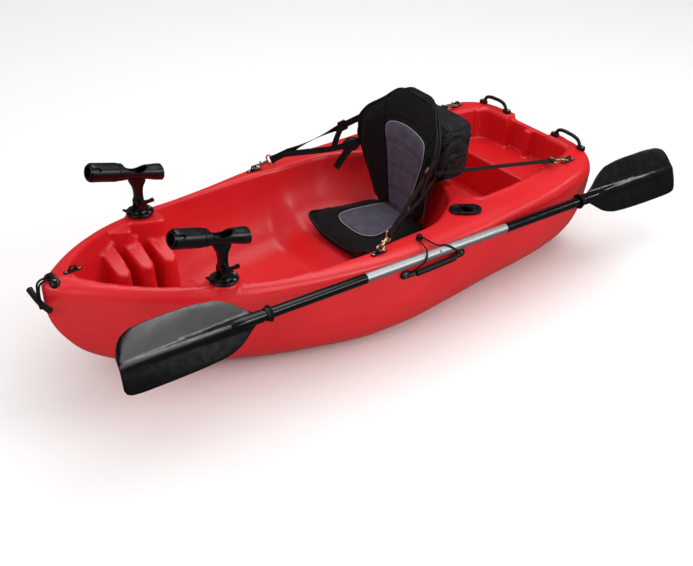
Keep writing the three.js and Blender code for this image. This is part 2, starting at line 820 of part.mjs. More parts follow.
const sides = [1, -1];
const pockets = (margin) => {
  const steps = sides.flatMap((side) => [
    platform(platformRear, platformLength, 0, side, margin),
    platform(platformRear + platformLength, stepLength, stepDrop, side, margin),
    ...braceRibs.map((number) => braceRib(number, side, margin)),
  ]);
  const parts = [tub(margin).subtract(union(steps)), tankWell(margin), lipLedge(margin), mountNotch(margin)];
  sides.forEach((side) => parts.push(recess(side, margin), sideDish(side, margin)));
  return union(parts);
};

function makeHull() {
  const outer = union([outerSkin, lip, ...sides.map(rodPad)]);
  const cavity = cavitySkin.subtract(pockets(hullWall));
  const openings = union([drainHole, ...sides.map(flushHole)]);
  return outer.subtract(pockets(0)).subtract(cavity).subtract(openings);
}
const hullBody = makeHull().simplify(8 * flatness);
place('hull', hullBody, redPolyethylene);

// Helpers for the pieces on the hull
const moved = (body, matrix) => body.transform(matrix.elements);
const heightOver = (x, y, halfX, halfY) =>
  hullBody.intersect(box(2 * halfX, 2 * halfY, 2 * hullDepth, pose(x, y, hullDepth))).boundingBox().max[2] + gap;
const readLine = (line, y) => {
  const i = Math.max(0, line.findIndex((p, n) => n + 1 < line.length && line[n + 1][0] >= y));
  const [a, b] = [line[i], line[i + 1]];
  return mix(a[1], b[1], (y - a[0]) / (b[0] - a[0]));
};
const deckAt = (x, y) => readLine(halfSection(shareAt(x), 0).slice(-shoulderSteps - 2).reverse(), Math.abs(y));
const screw = (x, y, z) => cylinder(screwRadius, screwHead, 6, pose(x, y, z + screwHead / 2), screwRadius / 2);
const suffix = (side) => (side > 0 ? 'left' : 'right');

// An outline that is stacked up in levels of [height, scale]
const stack = (outline, levels, m) =>
  solid(loft(levels.map(([z, scale]) => outline.map(([x, y]) => new THREE.Vector3(x * scale, y * scale, z)))), m);

// A round bar along a closed flat curve in the XY plane
function loopBar(points, radius, facets, steps, m) {
  const curve = new THREE.CatmullRomCurve3(points.map(([x, y]) => new THREE.Vector3(x, y, 0)), true, 'centripetal');
  const up = new THREE.Vector3(0, 0, 1);
  const rings = Array.from({ length: steps }, (_, i) => {
    const at = curve.getPointAt(i / steps);
    const across = new THREE.Vector3().crossVectors(up, curve.getTangentAt(i / steps));
    return Array.from({ length: facets }, (__, j) => {
      const angle = (2 * Math.PI * j) / facets;
      return at.clone().addScaledVector(up, radius * Math.cos(angle)).addScaledVector(across, radius * Math.sin(angle));
    });
  });
  return solid(loft(rings, true), m);
}

// Drain plug: a threaded plug with a finger bar across its head
const plugFace = -sternReach - gap;
place('drain_plug', union([
  rodAlongX(drainHeadRadius, drainHeadThickness, 24, pose(plugFace - drainHeadThickness / 2, 0, drainZ)),
  rodAlongX(drainRadius, drainLength, 20, pose(plugFace + drainLength / 2 - gap, 0, drainZ)),
  box(drainHeadThickness, drainHeadThickness, 1.6 * drainHeadRadius,
    pose(plugFace - 1.4 * drainHeadThickness, 0, drainZ)),
]), blackPlastic);

// Pad eyes: a plate with two screws and an arch that a hook goes through
function padEye(name, x, y) {
  const plate = extrude(roundedOutline(eyePlateLength, eyePlateWidth, eyePlateWidth / 2 - gap, 2), eyePlateThickness);
  const shares = [[-1, 0], [-1, 0.66], [-0.62, 1], [0.62, 1], [1, 0.66], [1, 0]];
  const rise = eyeRise - eyeWire;
  const arch = bar(shares.map(([u, v]) => [(u * eyeSpan) / 2, 0, eyePlateThickness / 2 + v * rise]), eyeWire, 6, 7);
  const screwX = (eyePlateLength - eyePlateWidth) / 2;
  const screws = [-screwX, screwX].map((u) => screw(u, 0, eyePlateThickness));
  const base = heightOver(x, y, eyePlateLength / 2, eyePlateWidth / 2);
  place(name, moved(union([plate, arch, ...screws]), pose(x, y, base)), blackNylon);
  return base;
}
padEye('bow_pad_eye', eyeBowX, 0);
const frontEyeBase = sides.map((side) => padEye(`front_pad_eye_${suffix(side)}`, eyeFrontX, side * eyeFrontY))[0];
const rearEyeBase = sides.map((side) => padEye(`rear_pad_eye_${suffix(side)}`, -eyeRearX, side * eyeRearY))[0];

// Bow handle saddle: a domed cap across the bow that the toggle's cord comes out of
const saddleOutline = roundedOutline(bowSaddleWidth, bowSaddleLength, bowSaddleWidth / 2 - gap, 5);
const saddleLevels = [[-1, 1], [0.3, 1], [0.7, 0.84], [1, 0.42]].map(([h, scale]) =>
  [h * bowSaddleHeight, scale]);
const cordTunnel = 2 * (bowCordSpread + bowCordRadius + 2 * gap);
const overDeck = (body) =>
  body.warp((point) => { point[2] += deckAt(point[0] + bowSaddleX, point[1]) + saddleClearance; });
const saddleScrewZ = 0.74 * bowSaddleHeight;
const saddle = stack(saddleOutline, saddleLevels)
  .add(screw(0, bowSaddleLength / 4, saddleScrewZ)).add(screw(0, -bowSaddleLength / 4, saddleScrewZ))
  .subtract(box(bowSaddleWidth, cordTunnel, 1.7 * bowSaddleHeight, pose(bowSaddleWidth / 2, 0, 0)));
place('bow_handle_saddle', moved(overDeck(saddle), pose(bowSaddleX, 0, 0))
  .subtract(moved(outerSkin, pose(0, 0, gap))), blackNylon);

// Toggle handle on a cord that goes through it twice
const togglePoints = [-1, -0.52, 0, 0.52, 1].map((u) => [0, (u * toggleLength) / 2, toggleSag * u * u]);
const cordHoles = sides.map((side) =>
  cylinder(bowCordRadius + 3 * gap, 3 * toggleRadius, 8, pose(0, side * bowCordSpread, 0)));
place('bow_toggle', moved(bar(togglePoints, toggleRadius, 8, 8).subtract(union(cordHoles)),
  pose(toggleX, 0, toggleZ)), rubber);
const cordTop = deckAt(bowSaddleX + bowSaddleWidth / 2, 0) + bowCordRadius + saddleClearance / 2;
const cordBend = toggleZ - toggleRadius - 2 * bowCordRadius;
const cordHalf = [
  [bowSaddleX + bowSaddleWidth / 8, bowCordSpread, cordTop],
  [bowSaddleX + bowSaddleWidth * 0.7, bowCordSpread, cordTop + gap],
  [bowReach + bowCordRadius, bowCordSpread, cordTop - bowCordRadius / 2],
  [mix(bowReach, toggleX, 0.8), bowCordSpread, cordTop - 3 * bowCordRadius],
  [toggleX, bowCordSpread, mix(cordTop, toggleZ, 0.45)],
  [toggleX, bowCordSpread, toggleZ + toggleRadius],
  [toggleX, bowCordSpread, toggleZ - toggleRadius],
  [toggleX, bowCordSpread * 0.7, cordBend],
];
const cordOther = cordHalf.map(([x, y, z]) => [x, -y, z]).reverse();
place('bow_toggle_cord', bar([...cordHalf, [toggleX, 0, cordBend - bowCordRadius], ...cordOther],
  bowCordRadius, 5, 34), blackFabric);

// Stern carry handles: an arched grip between two screwed blocks
function sternHandle(side) {
  const ends = [sternHandleInner, sternHandleOuter];
  const bases = ends.map((y) => heightOver(-sternHandleX, side * y, sternBlockWidth / 2, sternBlockLength / 2));
  const outline = roundedOutline(sternBlockWidth, sternBlockLength, sternBlockWidth / 3, 2);
  const levels = [[0, 1], [0.7, 1], [1, 0.82]].map(([h, scale]) => [h * sternBlockHeight, scale]);
  const blocks = ends.flatMap((y, i) => [
    stack(outline, levels, pose(-sternHandleX, side * y, bases[i])),
    screw(-sternHandleX, side * mix(y, ends[1 - i], -0.06), bases[i] + sternBlockHeight),
  ]);
  const shares = [[0.05, 0.2], [0.07, 0.5], [0.15, 0.82], [0.32, 0.98], [0.5, 1]];
  const points = [...shares, ...shares.slice(0, -1).reverse().map(([u, v]) => [1 - u, v])].map(([u, v]) =>
    [-sternHandleX, side * mix(...ends, u), mix(...bases, u) + v * sternHandleRise]);
  place(`stern_handle_${suffix(side)}`, union([...blocks, bar(points, sternHandleRadius, 6, 14)]), rubber);
}

// Side carry handles: a grip that turns on the pins of two screwed end mounts
const gripAxisY = dishFloorY + gap + sideGripStandOff;
function sideHandle(side) {
  const ends = [['front', -sideHandleFront, -1], ['rear', -sideHandleRear, 1]];
  ends.forEach(([end, x, inward]) => {
    const outline = roundedOutline(sidePlateLength, sidePlateWidth, sidePlateWidth / 2 - gap, 3);
    const levels = [[0, 1], [0.7, 1], [1, 0.86]].map(([h, scale]) => [h * sidePlateThickness, scale]);
    const plate = stack(outline, levels);
    const washer = cylinder(washerRadius, washerThickness, 10,
      pose(0, 0, sidePlateThickness + washerThickness / 2), washerRadius * 0.8);
    const lug = box(sideLugReach, sideLugWidth, sideLugHeight,
      pose((inward * (sideLugReach + sidePlateLength / 3)) / 2, 0, sideLugHeight / 2 + 2 * gap));
    const lugEnd = inward * (sideLugReach + sidePlateLength / 6);
    const pin = rodAlongX(gripPinRadius, sidePinLength + sidePinRoot, 10,
      pose(lugEnd + (inward * (sidePinLength - sidePinRoot)) / 2, 0, sideGripStandOff));
    place(`side_handle_${end}_mount_${suffix(side)}`,
      moved(union([plate, washer, lug, pin]), pose(x, side * (dishFloorY + gap), sideHandleZ, -90 * side)), blackNylon);
  });
  const lugReach = sideLugReach + sidePlateLength / 6;
  const gripLength = sideHandleRear - sideHandleFront - 2 * lugReach - 2 * runningGap;
  const profile = [[gripBore, -0.5], [gripRadius - gripEndStep, -0.5], [gripRadius, -0.46], [gripRadius * 0.94, -0.2]];
  const shape = [...profile, ...profile.slice().reverse().map(([r, h]) => [r, -h])].map(([r, h]) => [r, h * gripLength]);
  place(`side_grip_${suffix(side)}`, revolve(shape, 12,
    pose(sideHandleMid, side * gripAxisY, sideHandleZ).multiply(lyingZ)), rubber);
}
sides.forEach((side) => {
  sternHandle(side);
  sideHandle(side);
});

// Flush rod holders: an open tube under a flange that lies on the deck
function flushHolder(side) {
  const base = heightOver(-flushHolderX, side * flushHolderY, flushFlangeLength / 3, flushFlangeWidth / 2);
  const outline = roundedOutline(flushFlangeLength, flushFlangeWidth, flushFlangeWidth / 2 - gap, 4);
  const levels = [[0, 1], [0.5, 1], [1, 0.93]].map(([h, scale]) => [h * flushFlangeThickness, scale]);
  const flange = stack(outline, levels, pose(-flushHolderX, side * flushHolderY, base, 0, 0, side * -flushTurn));
  const tubeRadius = flushHolderBore + flushHolderWall;
  const tube = moved(cylinder(tubeRadius, flushHolderDepth, 16, pose(0, 0, -flushHolderDepth / 2)), flushPose(side));
  const rim = moved(cylinder(tubeRadius + flushHolderWall, flushRimHeight, 16,
    pose(0, 0, flushRimHeight / 2 + flushHolderWall)), flushPose(side));
  const bore = moved(cylinder(flushHolderBore, flushHolderDepth + overrun, 16,
    pose(0, 0, (overrun - flushHolderDepth) / 2 + flushHolderWall)), flushPose(side));
  const belowDeck = tube.subtract(box(4 * tubeRadius, 4 * tubeRadius, overrun,
    pose(-flushHolderX, side * flushHolderY, base + overrun / 2 + flushFlangeThickness / 2)));
  const top = rim.subtract(box(6 * tubeRadius, 6 * tubeRadius, overrun,
    pose(-flushHolderX, side * flushHolderY, base - overrun / 2)));
  const shape = union([flange, belowDeck, top]).subtract(bore);
  place(`flush_rod_holder_${suffix(side)}`, shape, blackPlastic);
}
sides.forEach(flushHolder);

// Swivelling rod holders. Heights are above the pad; the pivot is on the swivel axis.
const turntableAt = rodBossHeight + gap;
const pivotAt = turntableAt + turntableThickness + pivotHeight;
const earOutside = postThickness / 2 + gap + earThickness;
const collarEndShares = [0.62, 0.985];
const cradlePose = pose(-cradleTailBack, 0, pivotAt + cradleTailUp, 0, -cradleRise);
const cradleAxis = cradlePose.clone().multiply(pose(0, 0, 0, 0, 90));
function cradleOutline(margin) {
  const shares = cradleShares.map(([at, v]) => [mix(neckRadius, cradleTailRadius, v), at * cradleBandShares[0]]);
  const [bandStart, bandEnd] = cradleBandShares;
  const rows = [...shares, [cradleBandRadius, bandStart + 0.01], [cradleBandRadius, bandEnd], [collarSeatRadius, bandEnd]];
  rows.push([collarSeatRadius, 1]);
  return rows.map(([r, at]) => [r + margin, at * cradleLength]);
}
function rodHolder(side) {
  const foot = pose(rodHolderX, side * rodHolderY, rodDeck + rodPadHeight + gap);
  const add = (name, body, material) => place(`${name}_${suffix(side)}`, moved(body, foot), material);

  const flangeTop = rodBaseThickness;
  const disc = revolve([[0, 0], [rodBaseRadius, 0], [rodBaseRadius, 0.6 * flangeTop], [rodBaseRadius * 0.92, flangeTop],
    [rodBossRadius, flangeTop], [rodBossRadius * 0.94, rodBossHeight], [rodSpigotRadius, rodBossHeight],
    [rodSpigotRadius, turntableAt + turntableThickness + gap], [0, turntableAt + turntableThickness + gap]], 18);
  const lugY = tabWidth / 2 + gap + tabLugThickness / 2;
  const lugs = [-lugY, lugY].map((y) => box(2 * tabHubRadius, tabLugThickness, tabPinZ + tabHubRadius - flangeTop / 2,
    pose(tabPinX, y, (tabPinZ + tabHubRadius + flangeTop / 2) / 2)));
  const lugBore = rodAlongY(tabPinRadius + gap, 3 * tabWidth, 10, pose(tabPinX, 0, tabPinZ));
  const tabRoom = rodAlongY(tabHubRadius + runningGap, tabWidth + 2 * gap, 12, pose(tabPinX, 0, tabPinZ));
  const screwPlaces = [120, 180, 240].map((a) => degrees(a));
  const screws = screwPlaces.map((a) => screw(0.81 * rodBaseRadius * Math.cos(a), 0.81 * rodBaseRadius * Math.sin(a), flangeTop));
  add('rod_base', union([disc, ...lugs, ...screws]).subtract(lugBore).subtract(tabRoom), blackPlastic);

  const tab = union([
    rodAlongY(tabHubRadius, tabWidth - 2 * gap, 12, pose(0, 0, 0)),
    rodAlongY(tabPinRadius, 2 * lugY + tabLugThickness, 10, pose(0, 0, 0)),
    stack(roundedOutline(tabLength, tabWidth - 2 * gap, tabWidth / 3, 3), [[-0.5, 1], [0.5, 1]].map(([h, scale]) =>
      [h * tabThickness, scale]), pose(tabLength / 2, 0, 0)),
  ]);
  add('rod_base_tab', moved(tab, pose(tabPinX, 0, tabPinZ, 0, -tabRise)), blackPlastic);

  const plate = cylinder(turntableRadius, turntableThickness, 20, pose(0, 0, turntableAt + turntableThickness / 2));
  const earY = earOutside - earThickness / 2;
  const ears = [-earY, earY].flatMap((y) => [
    box(2 * postFootRadius, earThickness, pivotAt - turntableAt, pose(0, y, (pivotAt + turntableAt) / 2)),
    rodAlongY(postFootRadius, earThickness, 12, pose(0, y, pivotAt)),
  ]);
  const earBore = rodAlongY(pivotPinRadius + gap, 4 * earOutside, 10, pose(0, 0, pivotAt));
  const spigotBore = cylinder(rodSpigotRadius + runningGap, 2 * turntableThickness, 18, pose(0, 0, turntableAt));
  add('rod_turntable', union([plate, ...ears]).subtract(earBore).subtract(spigotBore), blackPlastic);

  const axisAt = (x) => cradleTailUp + (x + cradleTailBack) * Math.tan(degrees(cradleRise));
  const postHalf = postTopLength / 2;
  const postSide = [[-postWaist / 2, 0], [-0.46 * postWaist, 0.45 * cradleTailUp], [-0.62 * postWaist, 0.68 * cradleTailUp],
    [-postHalf, 0.92 * cradleTailUp], [-postHalf, axisAt(-postHalf)], [postHalf, axisAt(postHalf)],
    [postHalf, 0.98 * cradleTailUp], [0.6 * postWaist, 0.68 * cradleTailUp], [0.46 * postWaist, 0.45 * cradleTailUp],
    [postWaist / 2, 0]];
  const post = extrude(postSide, postThickness, pose(0, postThickness / 2, pivotAt, 90));
  const postFoot = rodAlongY(postFootRadius, postThickness, 14, pose(0, 0, pivotAt));
  const cradleRoom = revolve([[0, 0], ...cradleOutline(gap), [0, cradleLength]], 16, cradleAxis);
  add('rod_post', union([post, postFoot]).subtract(earBore).subtract(cradleRoom), blackPlastic);

  const hubY = earOutside + gap;
  const pin = rodAlongY(pivotPinRadius, 2 * hubY + pinHeadLength, 10, pose(0, -pinHeadLength / 2, 0));
  const pinHead = rodAlongY(pinHeadRadius, pinHeadLength, 10, pose(0, -hubY - pinHeadLength / 2, 0));
  const hub = rodAlongY(pinHeadRadius, tiltLeverThickness, 10, pose(0, hubY + tiltLeverThickness / 2, 0));
  const armLength = tiltLeverLength + tiltLeverWidth / 2;
  const arm = extrude(roundedOutline(armLength, tiltLeverWidth, tiltLeverWidth / 2 - gap, 3), tiltLeverThickness,
    pose(-(tiltLeverLength - tiltLeverWidth / 2) / 2, hubY + tiltLeverThickness, 0, 90));
  const lever = union([pin, pinHead, hub, arm]);
  add('tilt_lever', moved(lever, pose(0, 0, pivotAt, 0, tiltLeverRise)), blackPlastic);

  const tube = revolve([[cradleBore, 0], ...cradleOutline(0), [cradleBore, cradleLength]], 16, cradleAxis);
  const cutRow = saddleShares.map(([at, h]) => [at * cradleLength, h * neckRadius]);
  const cutTop = [[saddleShares[saddleShares.length - 1][0] * cradleLength, 2 * neckRadius],
    [saddleShares[0][0] * cradleLength, 2 * neckRadius]];
  const cutter = moved(extrude([...cutRow, ...cutTop], 4 * neckRadius, pose(0, 2 * neckRadius, 0, 90)), cradlePose);
  add('rod_cradle', tube.subtract(cutter), blackPlastic);

  const [collarFrom, collarTo] = collarEndShares.map((at) => at * cradleLength);
  const inner = collarSeatRadius + runningGap;
  const outer = inner + collarWall;
  const ring = revolve([[inner, collarFrom], [outer * 0.95, collarFrom], [outer, collarFrom + collarWall],
    [outer, collarTo - collarWall], [outer * 0.94, collarTo], [inner, collarTo]], 16, cradleAxis);
  const slots = [-55, 55].map((turn) => moved(
    box(collarSlotLength, collarSlotWidth, 2 * outer, pose(collarTo - collarSlotLength / 2 + gap, 0, outer + neckRadius / 3)),
    cradlePose.clone().multiply(pose(0, 0, 0, turn))));
  add('cradle_collar', ring.subtract(union(slots)), blackPlastic);
}
sides.forEach(rodHolder);

// Paddle: its own frame has X along the shaft to the bow
const paddlePose = new THREE.Matrix4().makeTranslation(paddleX, paddleY, paddleZ)
  .multiply(pose(0, 0, 0, 0, 0, paddleYaw)).multiply(pose(0, 0, 0, 0, -paddlePitch));
const addPaddle = (name, body, material) => place(name, moved(body, paddlePose), material);
const tubeAlongX = (outer, inner, from, to, count) =>
  revolve([[inner, from], [outer, from], [outer, to], [inner, to]], count, lyingZ);
const shaftInner = shaftRadius - shaftWall;
const ferruleOuter = shaftInner - gap;
const shaftEnd = neckStart + shaftInBlade;
const buttonPose = pose(0, 0, 0, -buttonLean);
const buttonBore = moved(cylinder(buttonRadius + gap, 2 * shaftRadius, 8, pose(0, 0, shaftRadius)), buttonPose);
addPaddle('shaft_stern_half', tubeAlongX(shaftRadius, shaftInner, -shaftEnd, shaftJoint, 14).subtract(buttonBore),
  aluminium);
addPaddle('shaft_bow_half', union([
  tubeAlongX(shaftRadius, shaftInner, shaftJoint + gap, shaftEnd, 14),
  tubeAlongX(ferruleOuter, ferruleOuter - shaftWall, -ferruleReach, shaftJoint + ferruleBond, 14),
  tubeAlongX(shaftInner + shaftWall / 2, ferruleOuter - shaftWall, shaftJoint + 2 * shaftWall,
    shaftJoint + ferruleBond, 14),
]).subtract(buttonBore), aluminium);
const buttonInside = 0.78 * (ferruleOuter - shaftWall);
addPaddle('snap_button', revolve([[0, buttonInside - shaftWall], [buttonFlange, buttonInside - shaftWall],
  [buttonFlange, buttonInside], [buttonRadius, buttonInside], [buttonRadius, shaftRadius + buttonProud / 2],
  [buttonRadius / 2, shaftRadius + buttonProud], [0, shaftRadius + buttonProud]], 8, buttonPose), aluminium);

// A blade with a round neck, a raised spine that fades out and a slightly cupped face
const bladeColumns = [-1, -0.7, -0.4, -0.2, -0.09, 0, 0.09, 0.2, 0.4, 0.7, 1];
function bladeSolid() {
  const length = paddleHalf - bladeStart;
  const rings = bladeShares.map(([t, above, below]) => {
    const cup = bladeCup * t * t;
    const rows = bladeColumns.map((u) => {
      const z = ((u > 0 ? above : below) * u * bladeWidth) / 2;
      const ridge = bladeSpine * (1 - 0.8 * t) * Math.exp(-((z / spineWidth) ** 2));
      const face = cup * (1 - 0.5 * u * u);
      return [z, bladeThickness / 2 + ridge, face];
    });
    const x = bladeStart + t * length;
    const front = rows.map(([z, half, face]) => new THREE.Vector3(x, face + half, z));
    const back = rows.slice().reverse().map(([z, half, face]) => new THREE.Vector3(x, face - half, z));
    return [...front, ...back];
  });
  const neck = revolve([[0, neckStart], [neckOuter, neckStart], [neckOuter, neckStart + shaftInBlade],
    [neckEnd, neckStart + neckLength], [0, neckStart + neckLength]], 14, lyingZ);
  const socket = revolve([[0, neckStart - overrun], [shaftRadius + gap, neckStart - overrun],
    [shaftRadius + gap, neckStart + shaftInBlade + gap], [0, neckStart + shaftInBlade + gap]], 14, lyingZ);
  return moved(solid(loft(rings)).add(neck), pose(0, 0, 0, bladeLean)).subtract(socket);
}
const blade = bladeSolid();
const ends = [['bow', 1], ['stern', -1]];
ends.forEach(([end, direction]) => {
  const turned = (body) => (direction > 0 ? body : body.mirror([1, 0, 0]));
  addPaddle(`blade_${end}`, turned(blade), blackPlastic);
  const sleeveInner = shaftRadius + gap;
  addPaddle(`shaft_sleeve_${end}`, turned(tubeAlongX(sleeveInner + sleeveWall, sleeveInner, sleeveStart, sleeveEnd, 14)),
    blackPlastic);
  const ringInner = sleeveInner + sleeveWall + runningGap;
  const ringProfile = [[ringInner, -0.5], [dripRingRadius, -0.5], [dripRingRadius, -0.3], [dripRingCollar + dripRingFlare, 0],
    [dripRingCollar, 0.5], [ringInner, 0.5]].map(([r, h]) => [r, dripRingAt + h * dripRingLength]);
  addPaddle(`drip_ring_${end}`, turned(revolve(ringProfile, 16, lyingZ)), rubber);
});

// Paddle keeper: a knob on the rim and an elastic cord from the handle mounts over the shaft
const knobBase = heightOver(-keeperKnobX, keeperKnobY, keeperKnobRadius, keeperKnobRadius);
place('keeper_knob', revolve([[0, 0], [keeperKnobRadius + keeperFlange, 0], [keeperKnobRadius, keeperFlangeHeight],
  [keeperStemRadius, keeperFlangeHeight],
  [keeperStemRadius, keeperStemHeight], [keeperKnobRadius, keeperStemHeight + keeperEdge],
  [keeperKnobRadius, keeperKnobHeight - keeperEdge], [keeperKnobRadius / 2, keeperKnobHeight], [0, keeperKnobHeight]], 10,
  pose(-keeperKnobX, keeperKnobY, knobBase)), blackNylon);
const bungeeTurns = [-42, 0, 45, 90, 122];
function bungeeHalf(startX, knobSide) {
  const clear = shaftRadius + bungeeRadius + bungeeSlack;
  const arc = bungeeTurns.map((turn, i) => {
    const x = mix(startX, -keeperKnobX + knobSide * keeperKnobRadius, (i + 1.4) / (bungeeTurns.length + 1.6));
    const local = x - paddleX;
    const cy = paddleY + local * Math.tan(degrees(paddleYaw));
    const cz = paddleZ + local * Math.tan(degrees(paddlePitch));
    return [x, cy + clear * Math.cos(degrees(turn)), cz + clear * Math.sin(degrees(turn))];
  });
  const lugTop = sideHandleZ + sideLugWidth / 2 + bungeeRadius + gap;
  return [[startX, gripAxisY - bungeeInboard, lugTop], ...arc];
}
const bungeeInset = sidePlateLength / 6 + sideLugReach / 2;
const stemClear = keeperStemRadius + bungeeRadius + gap;
const knobLevel = knobBase + keeperFlangeHeight + bungeeRadius + 2 * gap;
const aroundKnob = [[1, 0.5], [0.8, -0.6], [0, -1], [-0.8, -0.6], [-1, 0.5]].map(([u, v]) =>
  [-keeperKnobX + 1.1 * stemClear * u, keeperKnobY + 1.1 * stemClear * v, knobLevel]);
place('keeper_bungee', bar([
  ...bungeeHalf(-sideHandleFront - bungeeInset, 1),
  ...aroundKnob,
  ...bungeeHalf(-sideHandleRear + bungeeInset, -1).reverse(),
], bungeeRadius, 5, 40), rubber);

// Seat: both cushions are padded forms whose sewn channels run across them
const cushionColumns = [-1, -0.95, -0.78, -0.45, -0.15, 0.15, 0.45, 0.78, 0.95, 1];
const fat = (u) => Math.sqrt(Math.max(0, 1 - Math.abs(u) ** 4));
const channelAt = (distance) => channelSink * Math.exp(-((distance / (channelWidth / 2)) ** 2));
const panAt = (x, y) => {
  const half = tubRing((x + tubRear) / tubLength, 0).slice(0, tubWallSteps + 2).map((p) => [p.y, p.z]);
  return readLine(half, Math.abs(y));
};
const seatBaseLength = seatBaseRear - seatBaseFront;
const baseRows = 18;
const seatBase = solid(loft(Array.from({ length: baseRows + 1 }, (_, i) => {
  const t = i / baseRows;
  const x = -seatBaseRear + t * seatBaseLength;
  const half = readTable(seatBaseShares, 1, t) * seatBaseHalf;
  const endFat = fat(2 * t - 1) ** 0.8;
  const rows = cushionColumns.map((u) => {
    const y = u * half;
    const lift = seatCornerLift * (0.3 + 0.7 * t * t) * Math.abs(u) ** 3;
    const support = Math.max(panAt(x, y), seatPanHeight + lift) + seatClearance * Math.abs(u);
    const thick = mix(seatRearRise, seatFrontRise, t) - (support - seatPanHeight) * 0.55;
    const middle = support + gap + seatEdge * (1 - fat(u) * endFat) + Math.max(0, thick - seatEdge) / 8;
    const rise = Math.max(seatEdge / 3, (thick + cushionCrown * (1 - u * u)) * fat(u) * endFat);
    const arch = 0.05 * (1 - u * u);
    const sink = baseChannelShares.reduce((sum, at) => sum + channelAt((t - at - arch) * seatBaseLength), 0);
    const bottom = Math.min(support + gap + seatEdge * (1 - fat(u) * endFat), middle);
    return [y, bottom, bottom + rise - sink * fat(u)];
  });
  const under = rows.map(([y, bottom]) => new THREE.Vector3(x, y, bottom));
  const over = rows.slice().reverse().map(([y, , top]) => new THREE.Vector3(x, y, top));
  return [...under, ...over];
})));
place('seat_base', seatBase, blackFabric);

const backFootRoom = box(seatBackThickness / 3, 2 * seatBackHalfWidth, 2 * hullDepth,
  pose(seatBackX - seatBackThickness / 2, 0, hullDepth));
const backFoot = seatBase.intersect(backFootRoom).boundingBox().max[2] + gap;
const backFront = (t) => seatBackX - readTable(seatBackShares, 2, t) * seatBackLean;
const backRows = 24;
place('seat_back', solid(loft(Array.from({ length: backRows + 1 }, (_, i) => {
  const t = i / backRows;
  const z = backFoot + t * seatBackLength;
  const half = readTable(seatBackShares, 1, t) * seatBackHalfWidth;
  const endFat = fat(2 * t - 1) ** 0.8;
  const rows = cushionColumns.map((u) => {
    const wing = seatWing * Math.abs((u * half) / seatBackHalfWidth) ** 2.2;
    const middle = backFront(t) - seatBackThickness / 2 + wing;
    const halfThick = Math.max(seatBackThickness / 10, (seatBackThickness / 2) * fat(u) * endFat);
    const arch = 0.05 * (1 - u * u);
    const sink = backChannelShares.reduce((sum, at) => sum + channelAt((t - at - arch) * seatBackLength), 0);
    return [u * half, middle - halfThick, middle + halfThick + (cushionCrown / 2) * (1 - u * u) * endFat - sink * fat(u)];
  });
  const behind = rows.map(([y, back]) => new THREE.Vector3(back, y, z));
  const ahead = rows.slice().reverse().map(([y, , front]) => new THREE.Vector3(front, y, z));
  return [...behind, ...ahead];
}))), blackFabric);

// Storage bag behind the seat back
const bagOutline = roundedOutline(bagDepth, 2 * bagHalfWidth, bagCorner, 3);
const bagLevels = [[0, 0.8], [0.05, 0.93], [0.15, 0.99], [0.6, 1], [0.84, 0.97], [0.95, 0.89], [1, 0.78]];
place('storage_bag', solid(loft(bagLevels.map(([h, scale]) => {
  const z = backFoot + bagFoot + h * bagHeight;
  const t = (z - backFoot) / seatBackLength;
  const x = backFront(t) - seatBackThickness - (bagDepth * scale) / 2 - gap;
  return bagOutline.map(([u, v]) => new THREE.Vector3(x + u * scale, v * scale, z));
}))), greyFabric);

// Frame whose X axis points from one point to another, with Y level
function aimed(from, to) {
  const origin = new THREE.Vector3(...from);
  const ahead = new THREE.Vector3(...to).sub(origin).normalize();
  const level = new THREE.Vector3().crossVectors(new THREE.Vector3(0, 0, 1), ahead).normalize();
  const matrix = new THREE.Matrix4().makeBasis(ahead, level, new THREE.Vector3().crossVectors(ahead, level));
  return matrix.setPosition(origin);
}

// Brass snap hook: a round hook, a barrel with its bolt knob, and an eye for the webbing, turned on its swivel
function snapHook(name, frame, roll) {
  const round = Array.from({ length: 8 }, (_, i) => [
    hookRingRadius * (1 - Math.cos((2 * Math.PI * i) / 8)), hookRingRadius * Math.sin((2 * Math.PI * i) / 8)]);
  const barrel = rodAlongX(hookBodyRadius, hookBodyEnd - hookBodyStart, 7,
    pose((hookBodyStart + hookBodyEnd) / 2, 0, 0));
  const knob = cylinder(hookWire * 0.7, 2 * hookBodyRadius, 5,
    pose(mix(hookBodyStart, hookBodyEnd, 0.3), 0, hookBodyRadius));
  const [near, far] = [hookBodyEnd + hookEyeWire / 2, hookBodyEnd + hookEyeLength];
  const eyePoints = [[near, 0], [near, -hookEyeHalf * 0.7], [mix(near, far, 0.5), -hookEyeHalf], [far, -hookEyeHalf * 0.7],
    [far, 0], [far, hookEyeHalf * 0.7], [mix(near, far, 0.5), hookEyeHalf], [near, hookEyeHalf * 0.7]];
  const eye = loopBar(eyePoints, hookEyeWire, 5, 14, pose(0, 0, 0, 90 + roll));
  place(name, moved(union([loopBar(round, hookWire, 5, 11), barrel, knob, eye]), frame), brass);
}

